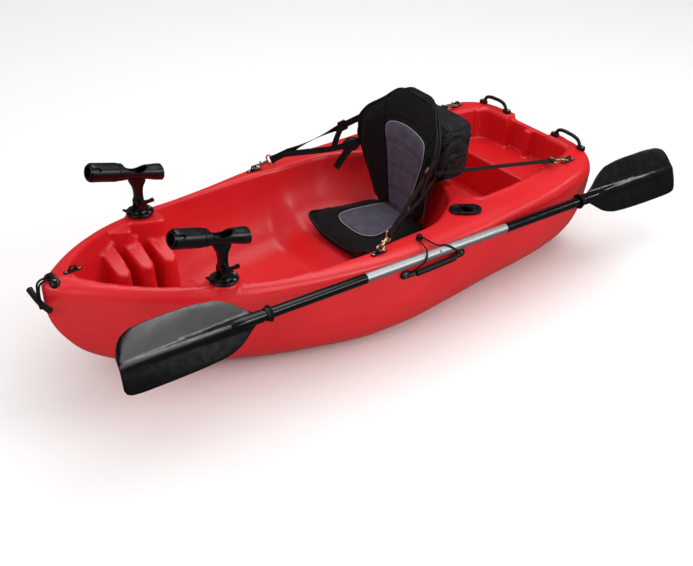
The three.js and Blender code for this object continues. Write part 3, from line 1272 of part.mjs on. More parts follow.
// Strap from the hook's eye to the seat, folded back round the eye, with its buckle
function strap(name, frame, length) {
  const bend = hookEyeWire + webbingThickness / 2 + 4 * gap;
  const layer = webbingThickness / 2 + gap;
  const far = hookBodyEnd + hookEyeLength;
  const wrap = [260, 220, 180, 140, 100].map((a) => [far + bend * Math.cos(degrees(a)), bend * Math.sin(degrees(a))]);
  const path = [[far + strapFold, -layer], [far + 2.6 * bend, -layer - gap], [far + 1.1 * bend, -0.8 * bend], ...wrap,
    [far + 1.1 * bend, 0.8 * bend], [far + 2.6 * bend, layer + gap], [length / 2, layer], [length, layer]];
  place(name, moved(band(path.map(([x, y]) => [x, y, 0]), webbingWidth, webbingThickness, [0, 0, 1]), frame), webbing);
}
function strapSet(kind, side, eye, eyeBase, seat, roll) {
  const crossing = [eye[0], side * eye[1], eyeBase + eyePlateThickness + hookWire + hookLift];
  const start = [seat[0], side * seat[1], seat[2]];
  const frame = aimed(crossing, start);
  const turned = frame.clone().multiply(pose(0, 0, 0, roll));
  const length = new THREE.Vector3(...crossing).distanceTo(new THREE.Vector3(...start));
  snapHook(`${kind}_snap_hook_${suffix(side)}`, frame, roll);
  strap(`${kind}_strap_${suffix(side)}`, turned, length);
  return turned.multiply(pose(length - buckleFromSeat, webbingThickness / 2 + gap, 0));
}
sides.forEach((side) => {
  const frontSeat = [frontStrapX, frontStrapY, frontStrapZ];
  const frame = strapSet('front', side, [eyeFrontX, eyeFrontY], frontEyeBase, frontSeat, 0);
  const slot = box(2 * buckleLength, webbingThickness + 2 * gap, webbingWidth + 2 * gap);
  const frameBar = box(buckleLength, buckleThickness, buckleWidth);
  const window = box(buckleLength / 4, 2 * buckleThickness, webbingWidth, pose(buckleLength / 5, -buckleThickness, 0));
  place(`strap_buckle_${suffix(side)}`, moved(frameBar.subtract(slot).subtract(window), frame), blackPlastic);
  strapSet('rear', side, [-eyeRearX, eyeRearY], rearEyeBase, [rearStrapX, rearStrapY, rearStrapZ], 90);
});

export default part;
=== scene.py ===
# %% [markdown]
# # A sit-in fishing kayak, piece by piece
# The real boat is one hollow red hull from a rotating mould, with bought-in fittings screwed to it: a padded
# seat on four straps, two swivel rod holders, handles, pad eyes and a two-piece paddle. A boat like this could
# be sculpted in one go, but then nothing could move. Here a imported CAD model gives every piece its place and
# its body, and each cell builds one piece or one finish on top of it.

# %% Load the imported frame
import math
import bmesh
import bpy
import numpy as np
from mathutils import Matrix, Vector, noise
from mathutils.bvhtree import BVHTree


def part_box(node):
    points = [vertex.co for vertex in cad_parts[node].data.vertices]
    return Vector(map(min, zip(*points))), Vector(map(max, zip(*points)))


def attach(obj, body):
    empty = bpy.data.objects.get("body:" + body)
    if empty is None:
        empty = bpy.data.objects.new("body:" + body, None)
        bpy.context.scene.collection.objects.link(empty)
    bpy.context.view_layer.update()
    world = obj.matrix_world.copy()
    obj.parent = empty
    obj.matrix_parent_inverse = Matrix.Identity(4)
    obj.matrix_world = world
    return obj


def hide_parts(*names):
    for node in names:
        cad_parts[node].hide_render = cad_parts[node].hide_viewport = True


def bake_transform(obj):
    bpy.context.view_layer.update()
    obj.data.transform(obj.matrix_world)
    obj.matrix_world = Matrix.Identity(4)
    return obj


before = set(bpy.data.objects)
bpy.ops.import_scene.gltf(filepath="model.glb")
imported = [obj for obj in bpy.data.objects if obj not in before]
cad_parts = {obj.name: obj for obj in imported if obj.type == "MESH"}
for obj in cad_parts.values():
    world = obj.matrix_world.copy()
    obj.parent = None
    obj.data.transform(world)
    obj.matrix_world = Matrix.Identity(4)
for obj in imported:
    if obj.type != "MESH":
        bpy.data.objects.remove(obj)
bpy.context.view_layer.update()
mm = 0.001
sides = {"left": 1, "right": -1}

# %% [markdown]
# ## The camera
# The photograph looks down on the boat from beyond its port bow with a short telephoto lens. The place below
# was worked out from the fitted outline of the hull, so the picture plane needs no shift.

# %% Camera
camera_from = Vector((1.9215, 2.7566, 2.1548))
camera_towards = Vector((-0.1346, 0.0, 0.0045))
lens = bpy.data.cameras.new("camera")
lens.sensor_width = 36.0
lens.lens = 62.34
camera = bpy.data.objects.new("camera", lens)
camera.location = camera_from
camera.rotation_euler = (camera_towards - camera_from).to_track_quat("-Z", "Y").to_euler()
bpy.context.scene.collection.objects.link(camera)
bpy.context.scene.camera = camera
print("camera distance", round((camera_towards - camera_from).length, 3))

# %% [markdown]
# ## Floor and light
# A studio shot on white: the floor is pale card, and large soft boxes hang above the boat. Big lights matter
# here, because moulded plastic shows them as long soft highlights, and the black paddle blades show little
# else, so each blade has a small box of its own. The even light of the ceiling is a very wide sun. It and the
# floor are kept out of reflections, or the black plastics would look grey. The Standard view keeps the red of
# the plastic as it is mixed.

# %% Floor, world and soft boxes
scene = bpy.context.scene
scene.view_settings.view_transform = "Standard"
scene.view_settings.look = "None"


def linear(code):
    """sRGB hex to the linear colour that shaders want."""
    channels = [int(code[i:i + 2], 16) / 255 for i in (1, 3, 5)]
    return tuple(c / 12.92 if c <= 0.04045 else ((c + 0.055) / 1.055) ** 2.4 for c in channels) + (1.0,)


def add(tree, kind, values=None, links=None, **settings):
    """A shader node with its settings, its socket values and what feeds its sockets."""
    made = tree.nodes.new("ShaderNode" + kind)
    for key, value in settings.items():
        setattr(made, key, value)
    for socket, value in (values or {}).items():
        made.inputs[socket].default_value = value
    for socket, source in (links or {}).items():
        tree.links.new(source, made.inputs[socket])
    return made


def start_finish(name, colour, roughness, **values):
    """A material whose constant values sit on the shader's own sockets."""
    material = bpy.data.materials.new(name)
    material.use_nodes = True
    tree = material.node_tree
    shader = tree.nodes["Principled BSDF"]
    shader.inputs["Base Color"].default_value = linear(colour)
    shader.inputs["Roughness"].default_value = roughness
    for socket, value in values.items():
        shader.inputs[socket.replace("_", " ")].default_value = value
    return material, tree, shader


card, card_tree, card_shader = start_finish("white studio card", "#F4F4F3", 0.9)
grain = add(card_tree, "TexNoise", {"Scale": 900.0, "Detail": 3.0})
card_bump = add(card_tree, "Bump", {"Strength": 0.05, "Distance": 0.0002}, {"Height": grain.outputs["Fac"]})
card_tree.links.new(card_bump.outputs["Normal"], card_shader.inputs["Normal"])

floor_mesh = bpy.data.meshes.new("studio_floor")
floor_half = 14.0
floor_corners = [(u * floor_half, v * floor_half, 0) for u, v in ((-1, -1), (1, -1), (1, 1), (-1, 1))]
floor_mesh.from_pydata(floor_corners, [], [(0, 1, 2, 3)])
floor_mesh.materials.append(card)
floor = bpy.data.objects.new("studio_floor", floor_mesh)
floor.location.z = -0.5 * mm
scene.collection.objects.link(floor)

world = bpy.data.worlds.new("studio")
world.use_nodes = True
world.node_tree.nodes["Background"].inputs["Color"].default_value = linear("#FFFFFF")
world.node_tree.nodes["Background"].inputs["Strength"].default_value = 0.1
scene.world = world


def soft_box(name, at, towards, width, height, power):
    """An area light of a size in metres and a power in watts, aimed at a point."""
    light = bpy.data.lights.new(name, "AREA")
    light.shape = "RECTANGLE"
    light.size = width
    light.size_y = height
    light.energy = power
    lamp = bpy.data.objects.new(name, light)
    lamp.location = at
    lamp.rotation_euler = (Vector(towards) - Vector(at)).to_track_quat("-Z", "Y").to_euler()
    scene.collection.objects.link(lamp)


soft_box("overhead_box", (-0.9, -0.2, 3.6), (-0.1, 0.0, 0.2), 4.4, 1.8, 58)
soft_box("bow_box", (3.8, 0.4, 2.4), (0.2, 0.0, 0.3), 1.6, 1.6, 24)
soft_box("port_box", (-1.9, 4.2, 1.9), (-0.2, 0.2, 0.2), 3.8, 1.6, 44)
soft_box("bow_blade_box", (-0.84, 2.66, 1.77), (0.6, 0.44, 0.36), 0.35, 0.9, 8)
soft_box("stern_blade_box", (-3.27, 1.9, 1.63), (-1.05, 0.4, 0.28), 0.5, 0.4, 6)
ceiling_light = bpy.data.lights.new("ceiling_fill", "SUN")
ceiling_light.energy = 2.1
ceiling_light.angle = math.radians(150)
ceiling = bpy.data.objects.new("ceiling_fill", ceiling_light)
ceiling.location = (0, 0, 6)
ceiling.visible_glossy = False
scene.collection.objects.link(ceiling)
floor.visible_glossy = False

# %% [markdown]
# ## Red rotomoulded polyethylene
# Powder melts against the wall of a turning mould, so the skin copies the mould: a soft, fine orange peel with
# a satin gloss and no grain direction. The pigment is even all through, and handling leaves the edges a
# little paler. The peel is about 3 mm from crest to crest.

# %% Red polyethylene
polyethylene_ior = 1.51


def wavy(tree, coords, pitch_mm, detail=2.0, roughness=0.5):
    """Noise whose lumps are about one pitch apart."""
    return add(tree, "TexNoise", {"Scale": 1000 / pitch_mm, "Detail": detail, "Roughness": roughness},
               {"Vector": coords})


def spread(tree, source, low, high, from_low=0.3, from_high=0.7):
    """A noise value stretched to a range."""
    return add(tree, "MapRange", {"From Min": from_low, "From Max": from_high, "To Min": low, "To Max": high},
               {"Value": source})


def relief(tree, shader, height, strength, depth_mm, under=None):
    """Bump of a real depth in millimetres."""
    links = {"Height": height}
    if under:
        links["Normal"] = under
    made = add(tree, "Bump", {"Strength": strength, "Distance": depth_mm * mm}, links)
    tree.links.new(made.outputs["Normal"], shader.inputs["Normal"])
    return made.outputs["Normal"]


def red_plastic():
    material, tree, shader = start_finish("rotomoulded polyethylene, red", "#D61C24", 0.3, IOR=polyethylene_ior)
    place = add(tree, "TexCoord").outputs["Object"]
    cloud = spread(tree, wavy(tree, place, 220).outputs["Fac"], 0.0, 1.0)
    edge = add(tree, "MapRange", {"From Min": 0.56, "From Max": 0.7, "To Min": 0.0, "To Max": 0.3},
               {"Value": add(tree, "NewGeometry").outputs["Pointiness"]})
    tone = add(tree, "MixRGB", {"Color1": linear("#D2181F"), "Color2": linear("#DA2026")},
               {"Fac": cloud.outputs["Result"]})
    worn = add(tree, "MixRGB", {"Color2": linear("#E43C3A")},
               {"Fac": edge.outputs["Result"], "Color1": tone.outputs["Color"]})
    tree.links.new(worn.outputs["Color"], shader.inputs["Base Color"])
    sheen = spread(tree, wavy(tree, place, 140, 0.5).outputs["Fac"], 0.28, 0.34)
    tree.links.new(sheen.outputs["Result"], shader.inputs["Roughness"])
    slow = relief(tree, shader, wavy(tree, place, 45, 1.0).outputs["Fac"], 0.5, 0.15)
    relief(tree, shader, wavy(tree, place, 3).outputs["Fac"], 0.22, 0.12, slow)
    return material


red = red_plastic()
print("hull finish", red.name)

# %% [markdown]
# ## Black plastics
# The rod holders are glass-filled nylon: near-black with a fine, even sparkle of fibre and a satin gloss. The
# paddle blades are polypropylene from a polished mould, so they are far glossier. Pad eyes and mounts are
# plain moulded nylon. All three are dielectrics, so only roughness, tint and relief tell them apart.

# %% Moulded black finishes
nylon_ior = 1.53


def black_plastic(name, colour, low, high, peel_mm, depth_mm, ior):
    material, tree, shader = start_finish(name, colour, low, IOR=ior)
    place = add(tree, "TexCoord").outputs["Object"]
    patches = spread(tree, wavy(tree, place, 25, 4.0).outputs["Fac"], low, high)
    tree.links.new(patches.outputs["Result"], shader.inputs["Roughness"])
    relief(tree, shader, wavy(tree, place, peel_mm, 3.0).outputs["Fac"], 0.3, depth_mm)
    return material


filled_nylon = black_plastic("moulded glass-filled nylon, black", "#060607", 0.24, 0.36, 1.2, 0.1, nylon_ior)
plain_nylon = black_plastic("moulded nylon, black", "#070708", 0.28, 0.42, 1.6, 0.08, nylon_ior)
sleeve_pvc = black_plastic("extruded PVC sleeve, black", "#040405", 0.14, 0.22, 6.0, 0.05, 1.53)
blade_plastic = black_plastic("polished polypropylene, black", "#050506", 0.16, 0.26, 30.0, 0.25, 1.49)
soft_rubber = black_plastic("moulded rubber, black", "#060607", 0.4, 0.55, 0.9, 0.12, 1.52)
print("black finishes", 5)

# %% [markdown]
# ## Metals
# The shaft is drawn aluminium tube with a satin anodised coat: pale grey, with faint lines along the drawing
# direction. The snap hooks are tumbled brass, and the screws are stainless steel. Metals keep the default IOR.

# %% Metals
def metal(name, colour, low, high, pitch_mm, depth_mm, along=(1, 1, 1)):
    material, tree, shader = start_finish(name, colour, low, Metallic=1.0)
    place = add(tree, "TexCoord").outputs["Object"]
    drawn = add(tree, "Mapping", {"Scale": along}, {"Vector": place}).outputs["Vector"]
    lines = wavy(tree, drawn, pitch_mm, 3.0).outputs["Fac"]
    tree.links.new(spread(tree, lines, low, high).outputs["Result"], shader.inputs["Roughness"])
    relief(tree, shader, lines, 0.25, depth_mm)
    return material


aluminium = metal("drawn aluminium, satin anodised", "#E2E4E6", 0.4, 0.52, 1.5, 0.03, (0.02, 1, 1))
brass = metal("tumbled brass", "#CDB891", 0.2, 0.34, 2.0, 0.05)
steel = metal("stainless steel, turned", "#B9BCC0", 0.2, 0.34, 1.0, 0.03)
print("metals", 3)

# %% [markdown]
# ## Mesh helpers
# Most fittings are lofts, revolves and extrusions. Each helper takes millimetres, as a drawing would, and
# gives a mesh in metres. Corners are rounded afterwards by a bevel that only takes edges sharper than a limit,
# because real mouldings have no knife edges and a rounded edge is what catches the light.

# %% Loft, revolve, extrude and tube
def build(name, points, faces, matrix=None):
    """A mesh object from points in millimetres."""
    mesh = bpy.data.meshes.new(name)
    spots = [Vector(p) if matrix is None else matrix @ Vector(p) for p in points]
    mesh.from_pydata([s * mm for s in spots], [], faces)
    mesh.validate()
    piece = bpy.data.objects.new(name, mesh)
    scene.collection.objects.link(piece)
    work = bmesh.new()
    work.from_mesh(mesh)
    bmesh.ops.remove_doubles(work, verts=work.verts, dist=1e-6)
    bmesh.ops.dissolve_degenerate(work, edges=work.edges, dist=1e-7)
    bmesh.ops.delete(work, geom=[edge for edge in work.edges if not edge.link_faces], context="EDGES")
    bmesh.ops.recalc_face_normals(work, faces=work.faces)
    work.to_mesh(mesh)
    work.free()
    return piece


def loft(name, rings, matrix=None, closed=False):
    """Skins a row of rings that all have the same count of points."""
    count = len(rings[0])
    points = [p for ring in rings for p in ring]
    rows = len(rings) if closed else len(rings) - 1
    faces = []
    for i in range(rows):
        a, b = i * count, ((i + 1) % len(rings)) * count
        faces += [(a + j, a + (j + 1) % count, b + (j + 1) % count, b + j) for j in range(count)]
    if not closed:
        for row in (0, len(rings) - 1):
            points.append(tuple(np.mean([tuple(p) for p in rings[row]], axis=0)))
            faces += [(len(points) - 1, row * count + j, row * count + (j + 1) % count) for j in range(count)]
    return build(name, points, faces, matrix)


def revolve(name, profile, matrix=None, count=48):
    """Turns a closed profile of (radius, height) about Z."""
    rings = []
    for i in range(count):
        angle = 2 * math.pi * i / count
        rings.append([(r * math.cos(angle), r * math.sin(angle), h) for r, h in profile])
    return loft(name, rings, matrix, closed=True)


def extrude(name, outline, height, matrix=None):
    return loft(name, [[(x, y, z) for x, y in outline] for z in (0, height)], matrix)


def stack(name, outline, levels, matrix=None):
    """An outline repeated at (height, scale) levels."""
    return loft(name, [[(x * k, y * k, z) for x, y in outline] for z, k in levels], matrix)


def rounded_outline(length, width, radius, steps=8):
    corners = [(1, 1, 0), (-1, 1, 90), (-1, -1, 180), (1, -1, 270)]
    made = []
    for sx, sy, start in corners:
        for i in range(steps + 1):
            angle = math.radians(start + 90 * i / steps)
            made.append((sx * (length / 2 - radius) + radius * math.cos(angle),
                         sy * (width / 2 - radius) + radius * math.sin(angle)))
    return made


def smooth_path(points, steps, closed=False):
    """Points along a centripetal curve through the given ones."""
    spots = [Vector(p) for p in points]
    count = len(spots)
    made = []
    spans = count if closed else count - 1
    for i in range(spans):
        if closed:
            p0, p1, p2, p3 = (spots[(i + k - 1) % count] for k in range(4))
        else:
            p1, p2 = spots[i], spots[i + 1]
            p0 = spots[i - 1] if i else p1 + (p1 - p2)
            p3 = spots[i + 2] if i + 2 < count else p2 + (p2 - p1)
        t1 = max((p1 - p0).length, 1e-6) ** 0.5
        t2 = t1 + max((p2 - p1).length, 1e-6) ** 0.5
        t3 = t2 + max((p3 - p2).length, 1e-6) ** 0.5
        for k in range(steps):
            t = t1 + (t2 - t1) * k / steps
            a1 = p0.lerp(p1, t / t1)
            a2 = p1.lerp(p2, (t - t1) / (t2 - t1))
            a3 = p2.lerp(p3, (t - t2) / (t3 - t2))
            b1 = a1.lerp(a2, t / t2)
            b2 = a2.lerp(a3, (t - t1) / (t3 - t1))
            made.append(b1.lerp(b2, (t - t1) / (t2 - t1)))
    if not closed:
        made.append(spots[-1])
    return made


def flat_curve(points, steps, closed=False):
    """The same curve for flat points, given and returned as pairs."""
    return [(p.x, p.y) for p in smooth_path([(u, v, 0) for u, v in points], steps, closed)]


def tube(name, points, radius, closed=False, steps=6, count=14, matrix=None):
    """A round bar along a path, with rings that don't twist."""
    path = smooth_path(points, steps, closed)
    last = len(path) - 1
    tangents = []
    for i in range(len(path)):
        ahead = path[(i + 1) % len(path)] if closed else path[min(i + 1, last)]
        behind = path[i - 1] if closed or i else path[0]
        tangents.append((ahead - behind).normalized())
    normal = tangents[0].orthogonal().normalized()
    rings = []
    for i, (at, tangent) in enumerate(zip(path, tangents)):
        normal = (normal - tangent * normal.dot(tangent)).normalized()
        across = tangent.cross(normal)
        size = radius(i / last) if callable(radius) else radius
        rings.append([at + (normal * math.cos(a) + across * math.sin(a)) * size
                      for a in (2 * math.pi * j / count for j in range(count))])
    if closed:
        best = min(range(count), key=lambda k: (rings[-1][k] - rings[0][0]).length)
        twist = best if best <= count / 2 else best - count
        if twist:
            for i, ring in enumerate(rings):
                k = round(twist * i / last)
                rings[i] = ring[k:] + ring[:k]
    return loft(name, rings, matrix, closed)


def pose(x=0, y=0, z=0, turn_x=0, turn_y=0, turn_z=0):
    """A place in millimetres after turns about X, Y and Z in degrees."""
    turn = (Matrix.Rotation(math.radians(turn_z), 4, "Z") @ Matrix.Rotation(math.radians(turn_y), 4, "Y")
            @ Matrix.Rotation(math.radians(turn_x), 4, "X"))
    return Matrix.Translation((x, y, z)) @ turn


def box(name, lx, ly, lz, matrix=None):
    corners = [(-lx / 2, -ly / 2), (lx / 2, -ly / 2), (lx / 2, ly / 2), (-lx / 2, ly / 2)]
    return loft(name, [[(x, y, z) for x, y in corners] for z in (-lz / 2, lz / 2)], matrix)


lying_x = pose(turn_y=90)
lying_y = pose(turn_x=-90)


def rod(name, radius, length, matrix=None, count=32, end_radius=None):
    """A cylinder about Z, centred on its own middle."""
    top = radius if end_radius is None else end_radius
    return revolve(name, [(0, -length / 2), (radius, -length / 2), (top, length / 2), (0, length / 2)], matrix, count)


# %% Joining, cutting and rounding
def freeze(piece):
    """Applies every modifier of a piece to its mesh."""
    graph = bpy.context.evaluated_depsgraph_get()
    graph.update()
    made = bpy.data.meshes.new_from_object(piece.evaluated_get(graph))
    piece.modifiers.clear()
    old = piece.data
    piece.data = made
    bpy.data.meshes.remove(old)
    return piece


def combine(base, others, how):
    """Joins or cuts solids one at a time and removes the tools."""
    for other in others:
        change = base.modifiers.new("combine", "BOOLEAN")
        change.operation = how
        change.solver = "EXACT"
        change.object = other
        freeze(base)
        bpy.data.objects.remove(other)
    return base


def join(base, *others):
    return combine(base, others, "UNION")


def cut(base, *others):
    return combine(base, others, "DIFFERENCE")


def rounded(piece, radius_mm, angle=32, segments=3):
    """Rounds the edges that are sharper than the angle, and shades the rest smooth."""
    work = bmesh.new()
    work.from_mesh(piece.data)
    bmesh.ops.remove_doubles(work, verts=work.verts, dist=2e-6)
    bmesh.ops.dissolve_limit(work, angle_limit=math.radians(1.0), verts=work.verts, edges=work.edges)
    work.to_mesh(piece.data)
    work.free()
    bevel = piece.modifiers.new("edge", "BEVEL")
    bevel.width = radius_mm * mm
    bevel.segments = segments
    bevel.limit_method = "ANGLE"
    bevel.angle_limit = math.radians(angle)
    bevel.use_clamp_overlap = True
    bevel.miter_outer = "MITER_ARC"
    freeze(piece)
    piece.data.shade_smooth()
    piece.data.set_sharp_from_angle(angle=math.radians(angle + 8))
    even = piece.modifiers.new("normals", "WEIGHTED_NORMAL")
    even.keep_sharp = True
    return freeze(piece)


def seat_on(piece, body, material, replaced=()):
    """Gives a finished piece its material, hides the CAD node that it replaces and hangs it on its body; a piece given
    the two bodies that it bends between is only fixed in place.
    """
    piece.data.validate()
    piece.data.materials.clear()
    piece.data.materials.append(material)
    if replaced:
        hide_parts(*([replaced] if isinstance(replaced, str) else replaced))
    if isinstance(body, str):
        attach(piece, body)
    else:
        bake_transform(piece)
    return piece


def edging(name, points, radius, body, material, closed=False, steps=3, count=10):
    """A smooth round cord along a path, seated on its body."""
    cord = tube(name, points, radius, closed=closed, steps=steps, count=count)
    cord.data.shade_smooth()
    return seat_on(cord, body, material)


print("helpers ready")

# %% [markdown]
# ## The hull's drawing
# A rotomoulded boat is drawn as sections along its length. The tables below give the outline as shares of the
# beam and depth, and a monotone curve runs through their rows, so no bulge appears between two stations.

# %% Tables and curves of the hull
hull_rows = [
    (0, 0.585, 0.32, 0.74, 0.2, 1), (0.005, 0.672, 0.36, 0.72, 0.165, 1), (0.017, 0.76, 0.4, 0.7, 0.12, 1),
    (0.04, 0.84, 0.43, 0.66, 0.06, 1), (0.09, 0.905, 0.455, 0.62, 0.012, 0.9), (0.15, 0.942, 0.49, 0.6, 0, 0.6),
    (0.25, 0.968, 0.53, 0.62, 0, 0.25), (0.35, 0.992, 0.585, 0.68, 0, 0.04), (0.43, 1, 0.62, 0.78, 0, 0),
    (0.5145, 0.97, 0.63, 0.83, 0, 0), (0.6, 0.905, 0.55, 0.76, 0, 0.05), (0.68, 0.83, 0.42, 0.66, 0, 0.2),
    (0.76, 0.748, 0.22, 0.52, 0.005, 0.48), (0.83, 0.64, 0.12, 0.46, 0.06, 0.7), (0.88, 0.522, 0.06, 0.42, 0.16, 0.84),
    (0.92, 0.398, 0.04, 0.4, 0.28, 0.95), (0.955, 0.268, 0.03, 0.42, 0.43, 1), (0.98, 0.16, 0.02, 0.46, 0.62, 1),
    (0.994, 0.08, 0.012, 0.5, 0.78, 0.96), (1, 0.035, 0.01, 0.5, 0.9, 0.9)]
tub_rows = [
    (0, 0.1, 0.05, 0.9), (0.012, 0.4, 0.16, 0.5), (0.028, 0.56, 0.3, 0.14), (0.048, 0.69, 0.44, 0.01),
    (0.1, 0.84, 0.56, 0), (0.14, 0.925, 0.6, 0), (0.19, 0.958, 0.66, 0), (0.28, 0.965, 0.7, 0), (0.35, 1, 0.735, 0),
    (0.45, 0.99, 0.72, 0), (0.57, 0.95, 0.64, 0), (0.68, 0.865, 0.5, 0), (0.77, 0.75, 0.4, 0),
    (0.86, 0.585, 0.28, 0.06), (0.92, 0.42, 0.18, 0.22), (0.965, 0.26, 0.1, 0.5), (1, 0.08, 0.03, 0.93)]
well_rows = [(0, 0.985), (0.35, 1), (0.6, 0.965), (0.8, 0.9), (1, 0.82)]
bow_reach, stern_reach, beam, depth = 915, 975, 804, 330
bow_lift, stern_lift, deck_crown, shoulder_radius, channel_depth = 64, 32, 8, 46, 9
tub_rear, tub_front, tub_half, pan_height, floor_height, rim_round = 438, 822, 320, 145, 82, 9
over = 40


def mix(a, b, t):
    return a + (b - a) * t


def smooth_step(t, low, high):
    u = min(max((t - low) / (high - low), 0.0), 1.0)
    return u * u * (3 - 2 * u)


def read(rows, column, place):
    """A monotone curve through the rows of a table."""
    last = len(rows) - 1

    def slope(i):
        return (rows[i + 1][column] - rows[i][column]) / (rows[i + 1][0] - rows[i][0])

    def tangent(i):
        if i in (0, last):
            return slope(0 if i == 0 else last - 1)
        before, after = slope(i - 1), slope(i)
        return 0.0 if before * after <= 0 else 2 * before * after / (before + after)

    if place <= rows[0][0]:
        return rows[0][column]
    if place >= rows[last][0]:
        return rows[last][column]
    i = max(k for k in range(last) if rows[k][0] <= place)
    span = rows[i + 1][0] - rows[i][0]
    t = (place - rows[i][0]) / span
    a, b = rows[i][column], rows[i + 1][column]
    ta, tb = tangent(i) * span, tangent(i + 1) * span
    return a + t * (ta + t * (3 * (b - a) - 2 * ta - tb + t * (ta + tb - 2 * (b - a))))


def share_at(x):
    return (x + stern_reach) / (bow_reach + stern_reach)


def rim_at(x):
    s = share_at(x)
    return depth + read(hull_rows, 5, s) * (bow_lift if x > 0 else stern_lift)


def bezier(points, steps):
    """A Bezier curve of any order as a row of points."""
    row = []
    for k in range(steps + 1):
        t = k / steps
        level = [tuple(p) for p in points]
        while len(level) > 1:
            level = [(mix(a[0], b[0], t), mix(a[1], b[1], t)) for a, b in zip(level, level[1:])]
        row.append(level[0])
    return row


def half_section(s):
    """(y, z) of half a section, from the keel to the middle of the deck."""
    half = read(hull_rows, 1, s) * beam / 2
    flat = max(read(hull_rows, 2, s) * half, 0.01 * half)
    keel = read(hull_rows, 4, s) * depth
    fullness = read(hull_rows, 3, s)
    rim = rim_at(s * (bow_reach + stern_reach) - stern_reach)
    shoulder = min(shoulder_radius, half * 0.6)
    fade = math.sin(math.pi * min(max((s - 0.13) / 0.57, 0), 1)) ** 0.5
    groove = keel + channel_depth * fade
    points = [(0, keel), (0.36 * flat, keel), (0.46 * flat, groove), (0.62 * flat, groove), (0.72 * flat, keel)]
    height = rim - shoulder - keel
    points += bezier([(flat, keel), (mix(flat, half, 0.1 + 0.75 * fullness), keel),
                      (mix(flat, half, 0.68 + 0.3 * fullness), keel + 0.42 * height), (half, keel + height)], 24)
    points += bezier([(half, rim - shoulder), (half - 0.06 * shoulder, rim - 0.06 * shoulder),
                      (half - shoulder, rim)], 8)[1:]
    inner = half - shoulder
    points += [(inner * u, rim + deck_crown * (1 - u * u)) for u in (0.85, 0.7, 0.55, 0.4, 0.27, 0.13, 0)]
    return points


def both_sides(half, x):
    port = [(x, y, z) for y, z in half]
    return port + [(x, -y, z) for y, z in half[-2:0:-1]]


def tub_ring(t):
    x = mix(-tub_rear, tub_front, t)
    rim = rim_at(x)
    widest = read(tub_rows, 1, t) * tub_half
    flat = read(tub_rows, 2, t) * tub_half
    base = mix(pan_height, floor_height, smooth_step(t, 0.265, 0.345))
    bottom = mix(base, rim, read(tub_rows, 3, t))
    half = [(0, bottom)] + bezier([(0.72 * flat, bottom), (flat + 0.25 * (widest - flat), bottom),
                                   (widest - 0.25 * (widest - flat), mix(bottom, rim, 0.35)),
                                   (widest - rim_round / 2, rim - rim_round)], 20)
    half += [(widest + rim_round / 2, rim + rim_round / 3), (widest + rim_round, rim + over), (0, rim + over)]
    return both_sides(half, x)


print("rim at the bow", round(rim_at(bow_reach)), "mm")

# %% [markdown]
# ## The hull
# The skin is lofted, and everything that the mould pushes into it is a solid taken away: the tub with its foot
# brace ribs and rod holder platforms left standing, the two-level tank well and its lip, the recesses of the
# transom, the dishes for the side handles and the holes. Hard boolean edges look machined. Rotomoulded
# polyethylene can't fill a sharp corner, so the whole shell is remeshed at 5 mm and relaxed, which gives every
# edge the same soft radius, as the real mould does.

# %% Hull solids
crowd = [(1 - math.cos(math.pi * i / 110)) / 2 for i in range(111)]
shell = loft("hull_shell", [both_sides(half_section(s), s * (bow_reach + stern_reach) - stern_reach) for s in crowd])

tub_places = sorted([i / 90 for i in range(91)] + [0.004, 0.008, 0.016, 0.02, 0.028, 0.036, 0.985, 0.994])
tub = loft("tub", [tub_ring(t) for t in tub_places])

platform_rear, platform_length, step_length, step_drop = 424, 116, 96, 14
platform_inboard, platform_flare, outboard = 172, 46, 330


def platform(rear, length, drop, side):
    """A flat shelf that stands in from the rim, with a rounded inboard corner."""
    front = rear + length
    round_in = platform_flare / 3
    line = flat_curve([(rear, platform_inboard + 2.2 * round_in),
                       (rear + 0.2 * round_in, platform_inboard + 0.7 * round_in), (rear + round_in, platform_inboard),
                       (mix(rear, front, 0.6), platform_inboard + 0.42 * platform_flare),
                       (front, platform_inboard + platform_flare)], 5)
    outline = [(rear, outboard)] + line + [(front, outboard)]
    top = rim_at(rear + length / 2) - drop
    return extrude("platform", [(x, side * y) for x, y in outline], top)


rib_first, rib_pitch, rib_thickness = 466, 84, 46
rib_reach, rib_reach_step, rib_top_drop, rib_nose_drop, rib_draft = 84, 12, 26, 66, 14


def brace_rib(number, side):
    """A foot brace rib: rounded at its inboard end, with a top that falls away from the rim."""
    x = rib_first + number * rib_pitch
    inboard = rib_reach - number * rib_reach_step
    half = rib_thickness / 2
    nose = [(half * math.cos(math.pi * i / 12), inboard + half * (1 - math.sin(math.pi * i / 12))) for i in range(13)]
    sides_out = [(-mix(1, 1.35, k / 8) * half, mix(inboard + half, outboard, k / 8)) for k in range(1, 9)]
    outline = nose + sides_out + [(-u, y) for u, y in reversed(sides_out)]
    rim = rim_at(x)

    def top(y):
        inward = min(max((outboard - y) / (outboard - inboard), 0), 1)
        return rim - rib_top_drop - rib_nose_drop * inward ** 1.5

    foot = [(x + u * (1 + rib_draft / half), side * (y - rib_draft), 0) for u, y in outline]
    head = [(x + u, side * y, top(y)) for u, y in outline]
    return loft("brace_rib", [foot, head])


steps = []
for side in sides.values():
    steps += [platform(platform_rear, platform_length, 0, side),
              platform(platform_rear + platform_length, step_length, step_drop, side)]
    steps += [brace_rib(number, side) for number in range(3)]
cut(tub, *steps)

well_front, well_rear, well_half, well_depth = 470, 928, 268, 235
shelf_drop, shelf_front, well_corner = 118, 800, 34
lip_width, lip_height, lip_step = 20, 7, 10


